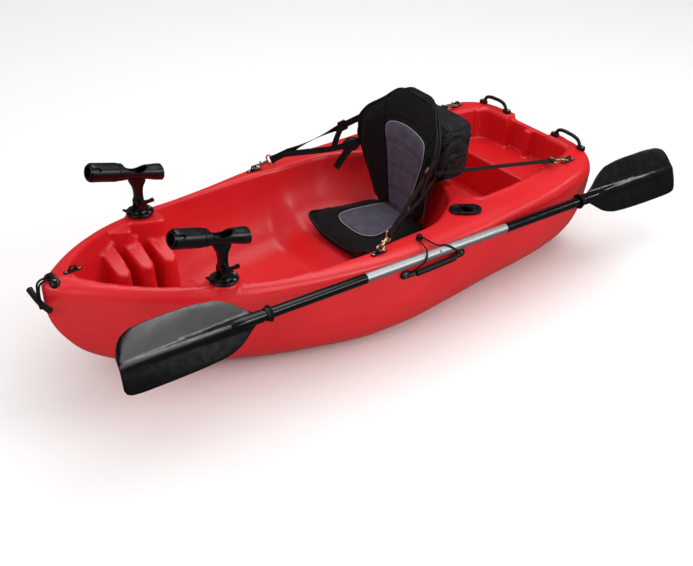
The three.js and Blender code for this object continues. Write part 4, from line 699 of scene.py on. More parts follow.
def well_outline(front, rear, margin):
    def half_at(x):
        return read(well_rows, 1, (x - well_front) / (well_rear - well_front)) * well_half + margin

    start, end = front - margin, rear + margin
    arc = [math.radians(90 * t / 8) for t in range(9)]
    near = [(start + well_corner * (1 - math.cos(a)), half_at(front) - well_corner * (1 - math.sin(a))) for a in arc]
    far = [(end - well_corner * (1 - math.sin(a)), half_at(rear) - well_corner * (1 - math.cos(a))) for a in arc]
    side_row = [(x, half_at(x)) for x in np.linspace(front, rear, 25)
                if start + well_corner < x < end - well_corner]
    half = near + side_row + far
    return [(-x, y) for x, y in half + [(x, -y) for x, y in reversed(half)]]


def follow_rim(piece):
    for point in piece.data.vertices:
        point.co.z += rim_at(point.co.x / mm) * mm
    return piece


deep_floor = depth - well_depth
shelf_floor = depth + stern_lift - shelf_drop
well_top = depth + stern_lift + over
deep_well = extrude("deep_well", well_outline(well_front, shelf_front, -0.1), well_top - deep_floor,
                    pose(z=deep_floor))
shelf_well = extrude("shelf_well", well_outline(well_front, well_rear, 0), well_top - shelf_floor, pose(z=shelf_floor))
lip = follow_rim(extrude("lip", well_outline(well_front, shelf_front - lip_width, lip_width), over,
                         pose(z=lip_height - over)))
ledge = follow_rim(extrude("ledge", well_outline(well_front, well_rear, lip_step), over,
                           pose(z=lip_height - lip_step)))
notch_drop, notch_width = 13.1, 192
notch = box("mount_notch", 2 * over + 52.3, notch_width, 2 * over,
            pose(-stern_reach, 0.07, depth + stern_lift - notch_drop + over))

rod_x, rod_y = 480, 246
rod_deck = rim_at(rod_x)
pads = [rod("rod_pad", 46, 22, pose(rod_x, side * rod_y, rod_deck - 4), 48, 43.3) for side in sides.values()]
dish_floor, handle_mid, handle_z = 390, -171, 258
flush_x, flush_y, flush_lean, flush_turn = 380, 300, 14, 35
flush_deck = rim_at(-flush_x)
drain_height = 96


def flush_pose(side):
    return pose(-flush_x, side * flush_y, flush_deck, turn_z=-flush_turn * side) @ pose(turn_y=-flush_lean)


takes = [tub, deep_well, shelf_well, ledge, notch]
for side in sides.values():
    takes.append(box("transom_recess", 26 + over, 84, shelf_drop + over,
                     pose(-well_rear - 13 + over / 2, side * 56.1, shelf_floor + 0.2 + (shelf_drop + over) / 2)))
    takes.append(extrude("side_dish", rounded_outline(290, 92, 46, 12), over,
                         pose(handle_mid, side * dish_floor, handle_z, turn_x=-90 * side)))
    takes.append(rod("flush_hole", 23.1, 200, flush_pose(side) @ pose(0, 0, -60)))
takes.append(rod("drain_hole", 14.3, 52, pose(-stern_reach, 0, drain_height) @ lying_x))
join(shell, lip, *pads)
cut(shell, *takes)
print("hull solid has", len(shell.data.polygons), "faces")

# %% Soft rotomoulded edges
voxel = 5
soft = shell.modifiers.new("mould", "REMESH")
soft.mode = "VOXEL"
soft.voxel_size = voxel * mm
soft.adaptivity = 0.0
relax = shell.modifiers.new("relax", "SMOOTH")
relax.factor = 0.5
relax.iterations = 7
freeze(shell)
shell.data.shade_smooth()
seat_on(shell, "hull_body", red, "hull")
print("hull shell", len(shell.data.vertices), "points")

# %% [markdown]
# ## Fittings on the hull
# Pad eyes, the bow saddle, the handle mounts and the keeper knob are nylon mouldings held down by stainless
# screws. They all stand on the deck, so each takes its height from the hull's own deck curve or from the CAD
# solid it replaces. One screw head is modelled once, with its cross drive, and then stamped where it is needed.

# %% Screws, pad eyes and bow saddle
def deck_at(x, y):
    """Height of the deck over a point, before the pockets."""
    row = sorted(half_section(share_at(x))[-16:])
    return float(np.interp(abs(y), [p[0] for p in row], [p[1] for p in row]))


def stamped(name, source, places):
    """Copies of one mesh at several places, in one object."""
    work = bmesh.new()
    for place in places:
        first = len(work.verts)
        work.from_mesh(source.data)
        work.verts.ensure_lookup_table()
        shift = place.copy()
        shift.translation = place.translation * mm
        bmesh.ops.transform(work, matrix=shift, verts=work.verts[first:])
    mesh = bpy.data.meshes.new(name)
    work.to_mesh(mesh)
    work.free()
    made = bpy.data.objects.new(name, mesh)
    scene.collection.objects.link(made)
    return made


def low_point(node):
    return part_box(node)[0].z / mm


pan_head = revolve("pan_head", [(0, -1), (5, -1), (5, 0.4), (4.4, 1.2), (2.6, 1.75), (0, 1.9)])
cut(pan_head, box("drive", 5.6, 1.1, 2.4, pose(z=2.1)))
cut(pan_head, box("drive", 1.1, 5.6, 2.4, pose(z=2.1)))
rounded(pan_head, 0.12, 40, 2)


def screws(name, body, places):
    return seat_on(stamped(name, pan_head, places), body, steel)


eye_plate = stack("eye_plate", rounded_outline(56, 15, 7.4, 8), [(0, 1), (2.6, 1), (3.5, 0.95)])
arch_path = [(-9, 0, 0.8), (-9, 0, 9.5), (-6.4, 0, 15.2), (6.4, 0, 15.2), (9, 0, 9.5), (9, 0, 0.8)]
eye_arch = tube("eye_arch", arch_path, 3, count=16)
pad_eye = rounded(join(eye_plate, eye_arch), 0.5)
front_eye, rear_eye = (0, 342), (-852, 284)
eye_places = {"bow_pad_eye": (tub_front, 0)}
for word, side in sides.items():
    eye_places[f"front_pad_eye_{word}"] = (front_eye[0], side * front_eye[1])
    eye_places[f"rear_pad_eye_{word}"] = (rear_eye[0], side * rear_eye[1])
for node, (x, y) in eye_places.items():
    at = pose(x, y, low_point(node))
    seat_on(stamped(f"{node}_moulding", pad_eye, [at]), "hull_body", plain_nylon, node)
    screws(f"{node}_screws", "hull_body", [at @ pose(u, 0, 3.4, turn_z=17 * u) for u in (-20.5, 20.5)])
bpy.data.objects.remove(pad_eye)

saddle_x = 886
dome = [(-12, 1), (1, 1), (3.6, 0.99), (6, 0.94), (8.4, 0.84), (10.4, 0.66), (11.6, 0.46), (12, 0.25)]
saddle = stack("bow_saddle_moulding", rounded_outline(28, 72, 13.7, 10), dome)
for point in saddle.data.vertices:
    point.co.z += (deck_at(saddle_x + point.co.x / mm, point.co.y / mm) + 1.2) * mm
saddle.data.transform(Matrix.Translation((saddle_x * mm, 0, 0)))
mouth = deck_at(900, 0) + 1.5
cut(saddle, stack("cord_mouth", rounded_outline(21.6, 17, 8.4, 8), [(0, 1), (30, 1)],
                  pose(888, 0, mouth, turn_y=90) @ pose(turn_z=90)))
seat_on(rounded(saddle, 0.9), "hull_body", plain_nylon, "bow_handle_saddle")
screws("bow_saddle_screws", "hull_body",
       [pose(saddle_x, u * 18, deck_at(saddle_x, 18) + 1.2 + 8.6, turn_x=-u * 9, turn_z=20 * u) for u in (-1, 1)])
print("pad eyes", len(eye_places))

# %% Stern handles, side handles, keeper knob and drain plug
stern_handle_x, foot_inner, foot_outer = -952, 122, 246
block_outline = rounded_outline(20, 30, 6.6, 6)
block = rounded(stack("block", block_outline, [(-3, 1), (7.7, 1), (9.6, 0.95), (11, 0.82)]), 0.8)
for word, side in sides.items():
    feet = {}
    for y in (foot_inner, foot_outer):
        feet[y] = max(deck_at(stern_handle_x + u, y + v) for u in (-10, 10) for v in (-15, 15)) + 0.3
    span = [(0.05, 0.2), (0.07, 0.5), (0.15, 0.82), (0.32, 0.98), (0.5, 1)]
    span += [(1 - u, v) for u, v in reversed(span[:-1])]
    points = [(stern_handle_x, side * mix(foot_inner, foot_outer, u),
               mix(feet[foot_inner], feet[foot_outer], u) + 34 * v) for u, v in span]
    arch = tube("arch", points, lambda t: 5.5 + 0.9 * math.sin(math.pi * t) ** 0.7, count=20)
    blocks = [stamped("block", block, [pose(stern_handle_x, side * y, feet[y])]) for y in feet]
    handle = rounded(join(arch, *blocks), 0.9)
    handle.name = f"stern_handle_{word}_moulding"
    seat_on(handle, "hull_body", soft_rubber, f"stern_handle_{word}")
    screws(f"stern_handle_{word}_screws", "hull_body",
           [pose(stern_handle_x, side * y, feet[near] + 11, turn_z=25)
            for y, near in ((114.6, foot_inner), (253.4, foot_outer))])

    for end, x, inward in (("front", -63, -1), ("rear", -279, 1)):
        at = pose(x, side * (dish_floor + 0.3), handle_z, turn_x=-90 * side)
        plate = stack("plate", rounded_outline(38, 26, 12.7, 10), [(0, 1), (5.6, 1), (7.8, 0.95), (9, 0.86)])
        washer = rod("washer", 8, 2.5, pose(z=10.25), 36, 7.2)
        lug = stack("lug", rounded_outline(18, 15, 7, 6), [(-18.3, 1), (13, 1), (18, 0.8)],
                    pose(inward * 18.3, 0, 9.6, turn_y=inward * 90))
        pin = rod("pin", 4, 19, pose(inward * 38.8, 0, 17) @ lying_x, 24)
        mount = rounded(join(plate, washer, lug, pin), 0.9)
        moved = stamped(f"side_handle_{end}_mount_{word}_moulding", mount, [at])
        bpy.data.objects.remove(mount)
        seat_on(moved, "hull_body", plain_nylon, f"side_handle_{end}_mount_{word}")
        cap = rounded(revolve("cap", [(0, 8.4), (8.6, 8.4), (8.6, 10.6), (7.6, 11.6), (0, 11.9)], at, 40), 0.3)
        cap.name = f"side_handle_{end}_mount_{word}_washer"
        seat_on(cap, "hull_body", steel)
        screws(f"side_handle_{end}_mount_{word}_screw", "hull_body", [at @ pose(0, 0, 11.6, turn_z=30)])

    half_length, grip_y = 77.15, 407.3
    bead = [(10, -0.46), (9.9, -0.42), (9.1, -0.405), (9.1, -0.395), (9.9, -0.38), (9.9, -0.36), (9.1, -0.345),
            (9.1, -0.335), (9.8, -0.32)]
    row = [(4.6, -0.5), (8, -0.5), (9.4, -0.49)] + bead + [(9.5, -0.1)]
    row += [(r, -h) for r, h in reversed(row)]
    grip = revolve(f"side_grip_{word}_tube", [(r, h * 2 * half_length) for r, h in row],
                   pose(handle_mid, side * grip_y, handle_z) @ lying_x)
    seat_on(rounded(grip, 0.4, 30, 2), f"side_grip_body_{word}", soft_rubber, f"side_grip_{word}")
bpy.data.objects.remove(block)

knob_x, knob_y = -150, 350
knob_profile = [(0, 0), (11, 0), (11, 0.8), (9, 3), (5, 3.6), (5, 9.4), (8.4, 10.6), (9, 11.6), (9, 14.4),
                (7.6, 15.6), (0, 16)]
knob = revolve("keeper_knob_moulding", knob_profile, pose(knob_x, knob_y, low_point("keeper_knob")), 48)
seat_on(rounded(knob, 0.4), "hull_body", plain_nylon, "keeper_knob")

face = -stern_reach - 0.3
plug = join(rod("drain_plug_moulding", 20, 6, pose(face - 3, 0, drain_height) @ lying_x, 48),
            rod("neck", 14, 18, pose(face + 8.7, 0, drain_height) @ lying_x, 40),
            stack("finger_bar", rounded_outline(32, 6, 2.9, 6), [(0, 1), (4.6, 1), (6, 0.9)],
                  pose(face - 5.4, 0, drain_height, turn_y=-90)))
seat_on(rounded(plug, 0.8), "drain_plug_body", plain_nylon, "drain_plug")
print("handles and plug done")

# %% Flush rod holders
for word, side in sides.items():
    base = max(deck_at(-flush_x + u, flush_y + v) for u in (-35, 0, 35) for v in (-31, 0, 20)) + 0.3
    flat_place = pose(-flush_x, side * flush_y, base, turn_z=-flush_turn * side)
    flange = stack("flange", rounded_outline(104, 62, 30.7, 18), [(-2, 1), (2.6, 1), (4.2, 0.985), (5, 0.95)],
                   flat_place)
    well = rod("well", 22.5, 150, flush_pose(side) @ pose(z=-75), 56)
    collar = revolve("collar", [(0, -4), (25, -4), (25, 4.6), (24, 6.2), (0, 6.2)], flush_pose(side), 56)
    cut(flange, stack("oval_dish", rounded_outline(84, 47, 23.2, 16), [(1.6, 0.9), (3.2, 0.96), (7, 1.04)],
                      flat_place))
    holder = join(flange, well, collar)
    cut(holder, revolve("bore", [(0, -147.5), (20, -147.5), (20, 6.5), (22, 9), (22, 30), (0, 30)],
                        flush_pose(side), 56))
    holder.name = f"flush_rod_holder_{word}_moulding"
    seat_on(rounded(holder, 0.7), "hull_body", plain_nylon, f"flush_rod_holder_{word}")
print("flush holders done")

# %% [markdown]
# ## Swivelling rod holders
# Each one is seven mouldings: a round base with a press tab, a turntable with two ears, a post that tilts
# between them, a cam lever on the tilt pin, the cradle tube on the post and a collar that turns on its nose.
# The cradle is cut open at the top for the rod's reel seat, and the collar has two slots that let the line out.
# Glass-filled nylon is stiff, so walls are 4 to 6 mm and every outside edge has about a millimetre of radius.

# %% Rod holders
cradle_rows = [(0, 1), (0.16, 0.95), (0.36, 0.1), (0.7, 0), (0.88, 0.6)]
saddle_rows = [(0.2, 1.2), (0.25, 0.7), (0.31, 0.28), (0.39, 0.12), (0.47, 0.3), (0.53, 0.72), (0.57, 1.2)]
cradle_length, band_start, band_end = 252, 0.57, 0.612
cradle_aft, cradle_height, cradle_lean = -87, 114.3, 15.8
tab_x, tab_height, tilt_height = 33, 13, 38.3


def arc_points(cx, cy, radius, start, stop, steps=14):
    return [(cx + radius * math.cos(math.radians(mix(start, stop, i / steps))),
             cy + radius * math.sin(math.radians(mix(start, stop, i / steps)))) for i in range(steps + 1)]


def upright(name, outline, thickness, y, matrix):
    """A flat side profile, given as (x, z), made as thick as stated and centred on y."""
    return extrude(name, outline, thickness, matrix @ pose(0, y + thickness / 2, 0, turn_x=90))


def cradle_profile(margin):
    neck = flat_curve([(at * band_start * cradle_length, mix(22.5, 25.5, v)) for at, v in cradle_rows], 7)
    row = [(radius, at) for at, radius in neck]
    row += [(27, (band_start + 0.01) * cradle_length), (27, band_end * cradle_length),
            (23.5, band_end * cradle_length), (23.5, cradle_length)]
    return [(r + margin, h) for r, h in row]


def place_piece(piece, node, body, radius=0.9):
    piece.name = f"{node}_moulding"
    return seat_on(rounded(piece, radius), body, filled_nylon, node)


for word, side in sides.items():
    foot = pose(rod_x, side * rod_y, rod_deck + 7.3)
    disc = revolve("disc", [(0, 0), (42, 0), (43, 1), (43, 4.8), (41.8, 6.6), (39.6, 7.9), (31, 8.2), (28, 8.6),
                            (27, 10), (25.4, 14), (10, 14), (10, 20.6), (0, 20.6)], foot, 72)
    lug = [(-6, 5), (6, 5), (4.5, 12)] + arc_points(0, tab_height, 4.5, 0, 180) + [(-4.5, 12)]
    lugs = [upright("lug", lug, 4, y, foot @ pose(x=tab_x)) for y in (-12.3, 12.3)]
    ribs = [box("rib", 11, 2.4, 4, foot @ pose(turn_z=a) @ pose(33, 0, 8.2)) for a in (60, 100, 140, 220, 260, 300)]
    base = join(disc, *lugs, *ribs)
    cut(base, rod("pin_bore", 2.8, 60, foot @ pose(tab_x, 0, tab_height) @ lying_y, 24))
    place_piece(base, f"rod_base_{word}", "hull_body")
    screws(f"rod_base_{word}_screws", "hull_body",
           [foot @ pose(turn_z=a) @ pose(34.8, 0, 8.2) for a in (120, 180, 240)])

    hinge = foot @ pose(tab_x, 0, tab_height, turn_y=-24)
    tab = join(rod("hub", 4.5, 19.4, hinge @ lying_y, 28), rod("tab_pin", 2.5, 28.6, hinge @ lying_y, 20),
               stack("tab", rounded_outline(25, 19.4, 6.6, 8), [(-2, 0.97), (-1.2, 1), (1.4, 1), (2, 0.96)],
                     hinge @ pose(x=12.5)))
    for x in (14, 17.5, 21):
        join(tab, box("grip_rib", 1.2, 14, 1.4, hinge @ pose(x, 0, 2.1)))
    place_piece(tab, f"rod_base_tab_{word}", f"rod_tab_body_{word}", 0.5)

    turntable = rod("turntable", 24, 6, foot @ pose(z=17.3), 60)
    ear = [(-16, 17), (16, 17), (14, 24), (14, tilt_height)] + arc_points(0, tilt_height, 14, 0, 180)[1:-1]
    ear += [(-14, tilt_height), (-14, 24)]
    pivot = foot @ pose(z=tilt_height)
    join(turntable, *[upright("ear", ear, 6, y, foot) for y in (-13.3, 13.3)])
    cut(turntable, rod("ear_bore", 5.3, 60, pivot @ lying_y, 28),
        rod("spigot_bore", 10.5, 12, foot @ pose(z=14.3), 32))
    place_piece(turntable, f"rod_turntable_{word}", f"rod_swivel_body_{word}")

    slope = math.tan(math.radians(cradle_lean))
    aft_side = flat_curve([(-13, 0), (-12, 34), (-16, 52), (-24, 66), (-26, 76 + 61 * slope)], 6)
    fore_side = flat_curve([(26, 76 + 113 * slope), (25.4, 76), (15.6, 51.7), (12, 34), (13, 0)], 6)
    post = upright("post", aft_side + fore_side, 20, 0, pivot)
    waist = [(-7.5, 18), (7.5, 18), (6.5, 36), (11, 56), (14, 64), (-15, 64), (-11, 56), (-6.5, 36)]
    cut(post, *[upright("waist_pocket", waist, 5, y, pivot) for y in (-10.2, 10.2)])
    join(post, rod("post_foot", 14, 20, pivot @ lying_y, 40))
    tail = foot @ pose(cradle_aft, 0, cradle_height, turn_y=-cradle_lean)
    cradle_axis = tail @ lying_x
    cut(post, rod("post_bore", 5.3, 60, pivot @ lying_y, 28),
        revolve("cradle_room", [(0, 0)] + cradle_profile(0.15) + [(0, cradle_length)], cradle_axis, 56))
    place_piece(post, f"rod_post_{word}", f"rod_cradle_body_{word}", 1.6)

    cam = foot @ pose(z=tilt_height, turn_y=3)
    arm = arc_points(-34.8, 0, 6.4, 230, 130, 8) + [(-24, 4.6), (-9, 6.6)]
    arm += arc_points(0, 0, 9, 130, -130, 18) + [(-9, -6.6), (-24, -4.6)]
    lever = join(upright("arm", arm, 7, 20.1, cam), rod("tilt_pin", 5, 37.2, cam @ pose(y=-2) @ lying_y, 28),
                 rod("pin_head", 9, 4, cam @ pose(y=-18.6) @ lying_y, 36))
    for x in (-38, -34, -30):
        join(lever, box("lever_rib", 1.4, 7, 13.4, cam @ pose(x, 20.1, 0)))
    place_piece(lever, f"tilt_lever_{word}", f"tilt_lever_body_{word}", 0.7)

    cradle = revolve("cradle", [(18.5, 0)] + cradle_profile(0) + [(18.5, cradle_length)], cradle_axis, 64)
    opening = flat_curve([(at * cradle_length, h * 22.5) for at, h in saddle_rows], 6)
    opening += [(band_start * cradle_length, 45), (0.2 * cradle_length, 45)]
    cut(cradle, upright("reel_opening", opening, 90, 0, tail))
    cut(cradle, upright("tail_slope", [(-10, -40), (-10, 40), (16, 40), (8, 20), (3, -6), (-1, -40)], 90, 0, tail))
    place_piece(cradle, f"rod_cradle_{word}", f"rod_cradle_body_{word}")

    start, stop = 0.62 * cradle_length, 0.985 * cradle_length
    ring = revolve("ring", [(24, start), (27.6, start), (29, start + 5), (29, stop - 16), (29.4, stop - 12),
                            (28.8, stop - 4), (27.3, stop), (24, stop)], cradle_axis, 72)
    cut(ring, *[stack("line_slot", rounded_outline(34, 14, 6.9, 8), [(-20, 1), (30, 1)],
                      tail @ pose(turn_x=turn) @ pose(stop - 11, 0, 29)) for turn in (-55, 55)])
    place_piece(ring, f"cradle_collar_{word}", f"cradle_collar_body_{word}", 0.8)
bpy.data.objects.remove(pan_head)
print("rod holders done")

# %% [markdown]
# ## The paddle
# It is a two-piece double-bladed paddle. The aluminium shaft is joined near the middle by a ferrule with a snap
# button. PVC sleeves cover the shaft on both sides of the grip, and a flared rubber ring near each blade throws
# off the water that runs down it. Each blade is cupped, a little longer below the shaft line than above, and
# stiffened by a spine that is the socket drawn out thin. The edge is only about 2 mm thick.

# %% Shaft, sleeves and drip rings
ends = {"bow": 1, "stern": -1}
paddle_x, paddle_y, paddle_z, paddle_turn, paddle_rise = -168, 419, 312, 1.35, 2.93
paddle_place = pose(paddle_x, paddle_y, paddle_z, turn_z=paddle_turn) @ pose(turn_y=-paddle_rise)
along = paddle_place @ lying_x
shaft_end, shaft_joint = 708, 25


def paddle_half(way):
    """The paddle's own place, mirrored lengthwise for the stern half."""
    return paddle_place @ Matrix.Diagonal((way, 1, 1, 1))


stern_half = revolve("shaft_stern_tube", [(12.9, -shaft_end), (14.5, -shaft_end), (14.5, shaft_joint),
                                          (12.9, shaft_joint)], along, 64)
bow_half = revolve("shaft_bow_tube", [(11, -40), (12.6, -40), (12.6, 25.3), (14.5, 25.3), (14.5, shaft_end),
                                      (12.9, shaft_end), (12.9, 85), (11, 85)], along, 64)
button_place = paddle_place @ pose(turn_x=-52)
for tube_half in (stern_half, bow_half):
    cut(tube_half, rod("button_bore", 4.3, 12, button_place @ pose(z=16), 32))
seat_on(rounded(stern_half, 0.3, 40, 2), "paddle_body", aluminium, "shaft_stern_half")
seat_on(rounded(bow_half, 0.3, 40, 2), "paddle_body", aluminium, "shaft_bow_half")
button = revolve("snap_button_dome", [(0, 8.6), (4, 8.6), (4, 14.6), (3.5, 16), (2.2, 16.8), (0, 17)], button_place, 32)
seat_on(rounded(button, 0.3), "snap_button_body", steel, "snap_button")

sleeve_profile = [(14.8, 283), (15.6, 283), (15.8, 284.5), (15.8, 644.5), (15.6, 646), (14.8, 646)]
cup_profile = [(16.3, 637.5), (18.4, 637.5), (19.2, 636), (19.4, 630), (20.8, 627.2), (24.4, 624), (25, 621.4),
               (24, 620.5), (22.6, 622), (20, 625.4), (18, 627), (16.3, 627)]
for end, way in ends.items():
    half = paddle_half(way) @ lying_x
    sleeve = revolve(f"shaft_sleeve_{end}_tube", sleeve_profile, half, 64)
    seat_on(rounded(sleeve, 0.2, 40, 2), "paddle_body", sleeve_pvc, f"shaft_sleeve_{end}")
    ring = revolve(f"drip_ring_{end}_cup", cup_profile, half, 64)
    seat_on(rounded(ring, 0.4, 40, 2), f"drip_ring_{end}_body", soft_rubber, f"drip_ring_{end}")
print("shaft", 2 * shaft_end, "mm long")

# %% Blades
blade_rows = [(0, 0.2, 0.2), (0.06, 0.38, 0.4), (0.14, 0.66, 0.64), (0.26, 0.9, 0.8), (0.45, 0.99, 0.86),
              (0.68, 1, 0.88), (0.84, 0.96, 0.88), (0.93, 0.82, 0.86), (0.98, 0.56, 0.8), (1, 0.26, 0.66)]
blade_start, blade_end, blade_width, blade_cup = 672, 1090, 186, 16


def blade(name, way):
    """A cupped blade: two skins that meet in a thin rounded edge, with the spine raised on both faces."""
    rings = []
    stations = sorted([i / 64 for i in range(65)] + [0.99, 0.996])
    across = [-1, -0.985, -0.95, -0.9] + [i / 16 for i in range(-13, 14)] + [0.9, 0.95, 0.985, 1]
    for t in stations:
        above, below = read(blade_rows, 1, t), read(blade_rows, 2, t)
        x = blade_start + t * (blade_end - blade_start)
        front, back = [], []
        for u in across:
            z = (above if u > 0 else below) * u * blade_width / 2
            spread_out = mix(15, 9, t)
            spine = 7 * (1 - 0.85 * t) / (1 + abs(z / spread_out) ** 5)
            edge = max(0.0, 1 - abs(u) ** 10) ** 0.5
            thick = mix(1.1, 2.0, edge) * (1 if t < 0.97 else mix(1, 0.6, (t - 0.97) / 0.03))
            face = blade_cup * t * t * (1 - 0.5 * u * u)
            front.append((x, face + thick + spine, z))
            back.append((x, face - thick - spine, z))
        rings.append(front + back[::-1])
    lean = paddle_half(way) @ pose(turn_x=25)
    skin = loft(name, rings, lean)
    join(skin, revolve("socket", [(0, 648), (18.5, 648), (18.5, 700), (17.6, 715), (13.5, 735), (10, 748), (0, 752)],
                       lean @ lying_x, 64))
    cut(skin, rod("socket_bore", 14.8, 62, paddle_half(way) @ pose(x=678) @ lying_x, 48))
    return rounded(skin, 0.8, 38)


for end, way in ends.items():
    seat_on(blade(f"blade_{end}_moulding", way), "paddle_body", blade_plastic, f"blade_{end}")
print("blades done")

# %% [markdown]
# ## Fabrics
# The seat is faced with black spacer mesh, ribbed where the shoulders rest, and has grey-blue woven panels edged
# with a thin pale piping. The bag is thin coated nylon, and the straps are 24 mm webbing. Fabric reads by its
# weave, so each has one at its real pitch: 5.6 mm ribs, 2.4 mm mesh cells and a 1.4 mm panel weave. The panel
# weave is drawn about a third coarser than life so that it still shows from a boat's length away.

# %% Fabric materials
def ridges(tree, coords, pitch_mm, axis, profile="SIN"):
    """Parallel ridges one pitch apart along an axis."""
    return add(tree, "TexWave", {"Scale": 0.31416 / (pitch_mm * mm), "Distortion": 0.0}, {"Vector": coords},
               wave_type="BANDS", bands_direction=axis, wave_profile=profile)


def fabric(name, dark, light, roughness, patch_mm):
    material, tree, shader = start_finish(name, dark, roughness, IOR=1.5)
    shader.inputs["Sheen Weight"].default_value = 0.03
    shader.inputs["Specular IOR Level"].default_value = 0.22
    shader.inputs["Sheen Roughness"].default_value = 0.5
    place = add(tree, "TexCoord").outputs["Object"]
    patches = spread(tree, wavy(tree, place, patch_mm, 3.0).outputs["Fac"], 0.0, 1.0)
    tone = add(tree, "MixRGB", {"Color1": linear(dark), "Color2": linear(light)},
               {"Fac": patches.outputs["Result"]})
    tree.links.new(tone.outputs["Color"], shader.inputs["Base Color"])
    return material, tree, shader, place


def smooth_finish(name, colour, roughness, pitch_mm, depth_mm):
    """Fine cord, tape or thread, whose own weave is too small to show but for a slight unevenness."""
    material, tree, shader = start_finish(name, colour, roughness, IOR=1.5)
    place = add(tree, "TexCoord").outputs["Object"]
    relief(tree, shader, wavy(tree, place, pitch_mm).outputs["Fac"], 0.3, depth_mm)
    return material


def blend_heights(tree, first, second, how="MULTIPLY"):
    return add(tree, "Math", operation=how, links={0: first, 1: second}).outputs["Value"]


def mesh_fabric():
    material, tree, shader, place = fabric("spacer mesh, black", "#050506", "#0A0A0C", 0.8, 60)
    cells = add(tree, "TexVoronoi", {"Scale": 1000 / 2.4}, {"Vector": place}, feature="F1")
    relief(tree, shader, cells.outputs["Distance"], 0.6, 0.5)
    return material


def ribbed_fabric():
    material, tree, shader, place = fabric("ribbed spacer mesh, black", "#050506", "#0B0B0D", 0.75, 50)
    ribs = ridges(tree, place, 5.6, "Z").outputs["Fac"]
    cells = add(tree, "TexVoronoi", {"Scale": 1000 / 2.0}, {"Vector": place}, feature="F1")
    under = relief(tree, shader, cells.outputs["Distance"], 0.35, 0.3)
    relief(tree, shader, ribs, 0.8, 1.6, under)
    return material


def panel_fabric():
    material, tree, shader, place = fabric("plain-woven polyester, grey-blue", "#413F4C", "#4E4C5A", 0.7, 35)
    weft = ridges(tree, place, 1.4, "Y").outputs["Fac"]
    slant = ridges(tree, place, 1.4, "DIAGONAL").outputs["Fac"]
    relief(tree, shader, blend_heights(tree, weft, slant), 0.35, 0.22)
    return material


def bag_nylon():
    material, tree, shader, place = fabric("coated nylon, dark grey", "#101014", "#1B1B21", 0.4, 40)
    creases = add(tree, "TexNoise", {"Scale": 38.0, "Detail": 5.0, "Roughness": 0.6, "Distortion": 1.2},
                  {"Vector": place})
    level, upright_line = ridges(tree, place, 5, "Z").outputs["Fac"], ridges(tree, place, 5, "Y").outputs["Fac"]
    squares = blend_heights(tree, upright_line, level, "MAXIMUM")
    under = relief(tree, shader, creases.outputs["Fac"], 0.75, 7.0)
    relief(tree, shader, squares, 0.15, 0.12, under)
    return material


def strap_webbing():
    """Woven ribs that run across a strap, by the distance along it that its mesh carries."""
    material, tree, shader, _ = fabric("woven polypropylene webbing, black", "#08080A", "#101013", 0.65, 30)
    run = add(tree, "Attribute", attribute_name="run").outputs["Vector"]
    weft = ridges(tree, run, 1.6, "X").outputs["Fac"]
    warp = ridges(tree, run, 3.0, "Y").outputs["Fac"]
    relief(tree, shader, blend_heights(tree, weft, warp, "ADD"), 0.5, 0.35)
    return material


def braided_cord():
    material, tree, shader, place = fabric("braided polyester cord, black", "#070708", "#0E0E10", 0.65, 8)
    braid = add(tree, "TexWave", {"Scale": 0.31416 / (2.2 * mm), "Distortion": 1.5}, {"Vector": place},
                wave_type="BANDS", bands_direction="DIAGONAL")
    relief(tree, shader, braid.outputs["Fac"], 0.5, 0.4)
    return material


mesh_cloth, ribbed_cloth, panel_cloth = mesh_fabric(), ribbed_fabric(), panel_fabric()
nylon, webbing, cord_braid = bag_nylon(), strap_webbing(), braided_cord()
binding = smooth_finish("smooth polyester binding, black", "#050506", 0.5, 1.2, 0.15)
piping = smooth_finish("piping, pale grey", "#8E8D98", 0.55, 0.8, 0.1)
thread = smooth_finish("bonded polyester thread", "#26252C", 0.5, 0.5, 0.1)
print("fabrics", 9)

# %% [markdown]
# ## Seat cushions
# A cushion is foam pressed by its cover, so it is crowned between its seams and thin at its edges. The shape is
# lofted a little slim, remeshed evenly, and then inflated as cloth for 20 frames with gravity off. How far a
# point may move is capped, so the pad fills its cover without ballooning. Seams come last, because a remesh
# would wash out anything narrower than a voxel.

# %% Cushion tools
def inflated(piece, voxel_mm, pressure, cap_mm, frames=20):
    """Remeshes a pad evenly, swells it as cloth, and caps how far each point moved."""
    grid = piece.modifiers.new("even", "REMESH")
    grid.mode = "VOXEL"
    grid.voxel_size = 1 * voxel_mm * mm
    freeze(piece)
    rest = np.empty(len(piece.data.vertices) * 3)
    piece.data.vertices.foreach_get("co", rest)
    cloth = piece.modifiers.new("swell", "CLOTH")
    cloth.settings.quality = 5
    cloth.settings.mass = 0.3
    cloth.settings.tension_stiffness = 15
    cloth.settings.compression_stiffness = 15
    cloth.settings.bending_stiffness = 0.5
    cloth.settings.use_pressure = True
    cloth.settings.uniform_pressure_force = pressure
    cloth.settings.effector_weights.gravity = 0
    cloth.point_cache.frame_start = 1
    cloth.point_cache.frame_end = frames
    for frame_number in range(1, frames + 1):
        scene.frame_set(frame_number)
    freeze(piece)
    scene.frame_set(1)
    swollen = np.empty(len(piece.data.vertices) * 3)
    piece.data.vertices.foreach_get("co", swollen)
    move = (swollen - rest).reshape(-1, 3)
    far = np.linalg.norm(move, axis=1, keepdims=True)
    move *= np.minimum(1.0, cap_mm * mm / np.maximum(far, 1e-9))
    piece.data.vertices.foreach_set("co", (rest.reshape(-1, 3) + move).ravel())
    piece.data.update()
    finer = piece.modifiers.new("finer", "SUBSURF")
    finer.levels = finer.render_levels = 1
    freeze(piece)
    piece.data.shade_smooth()
    return piece


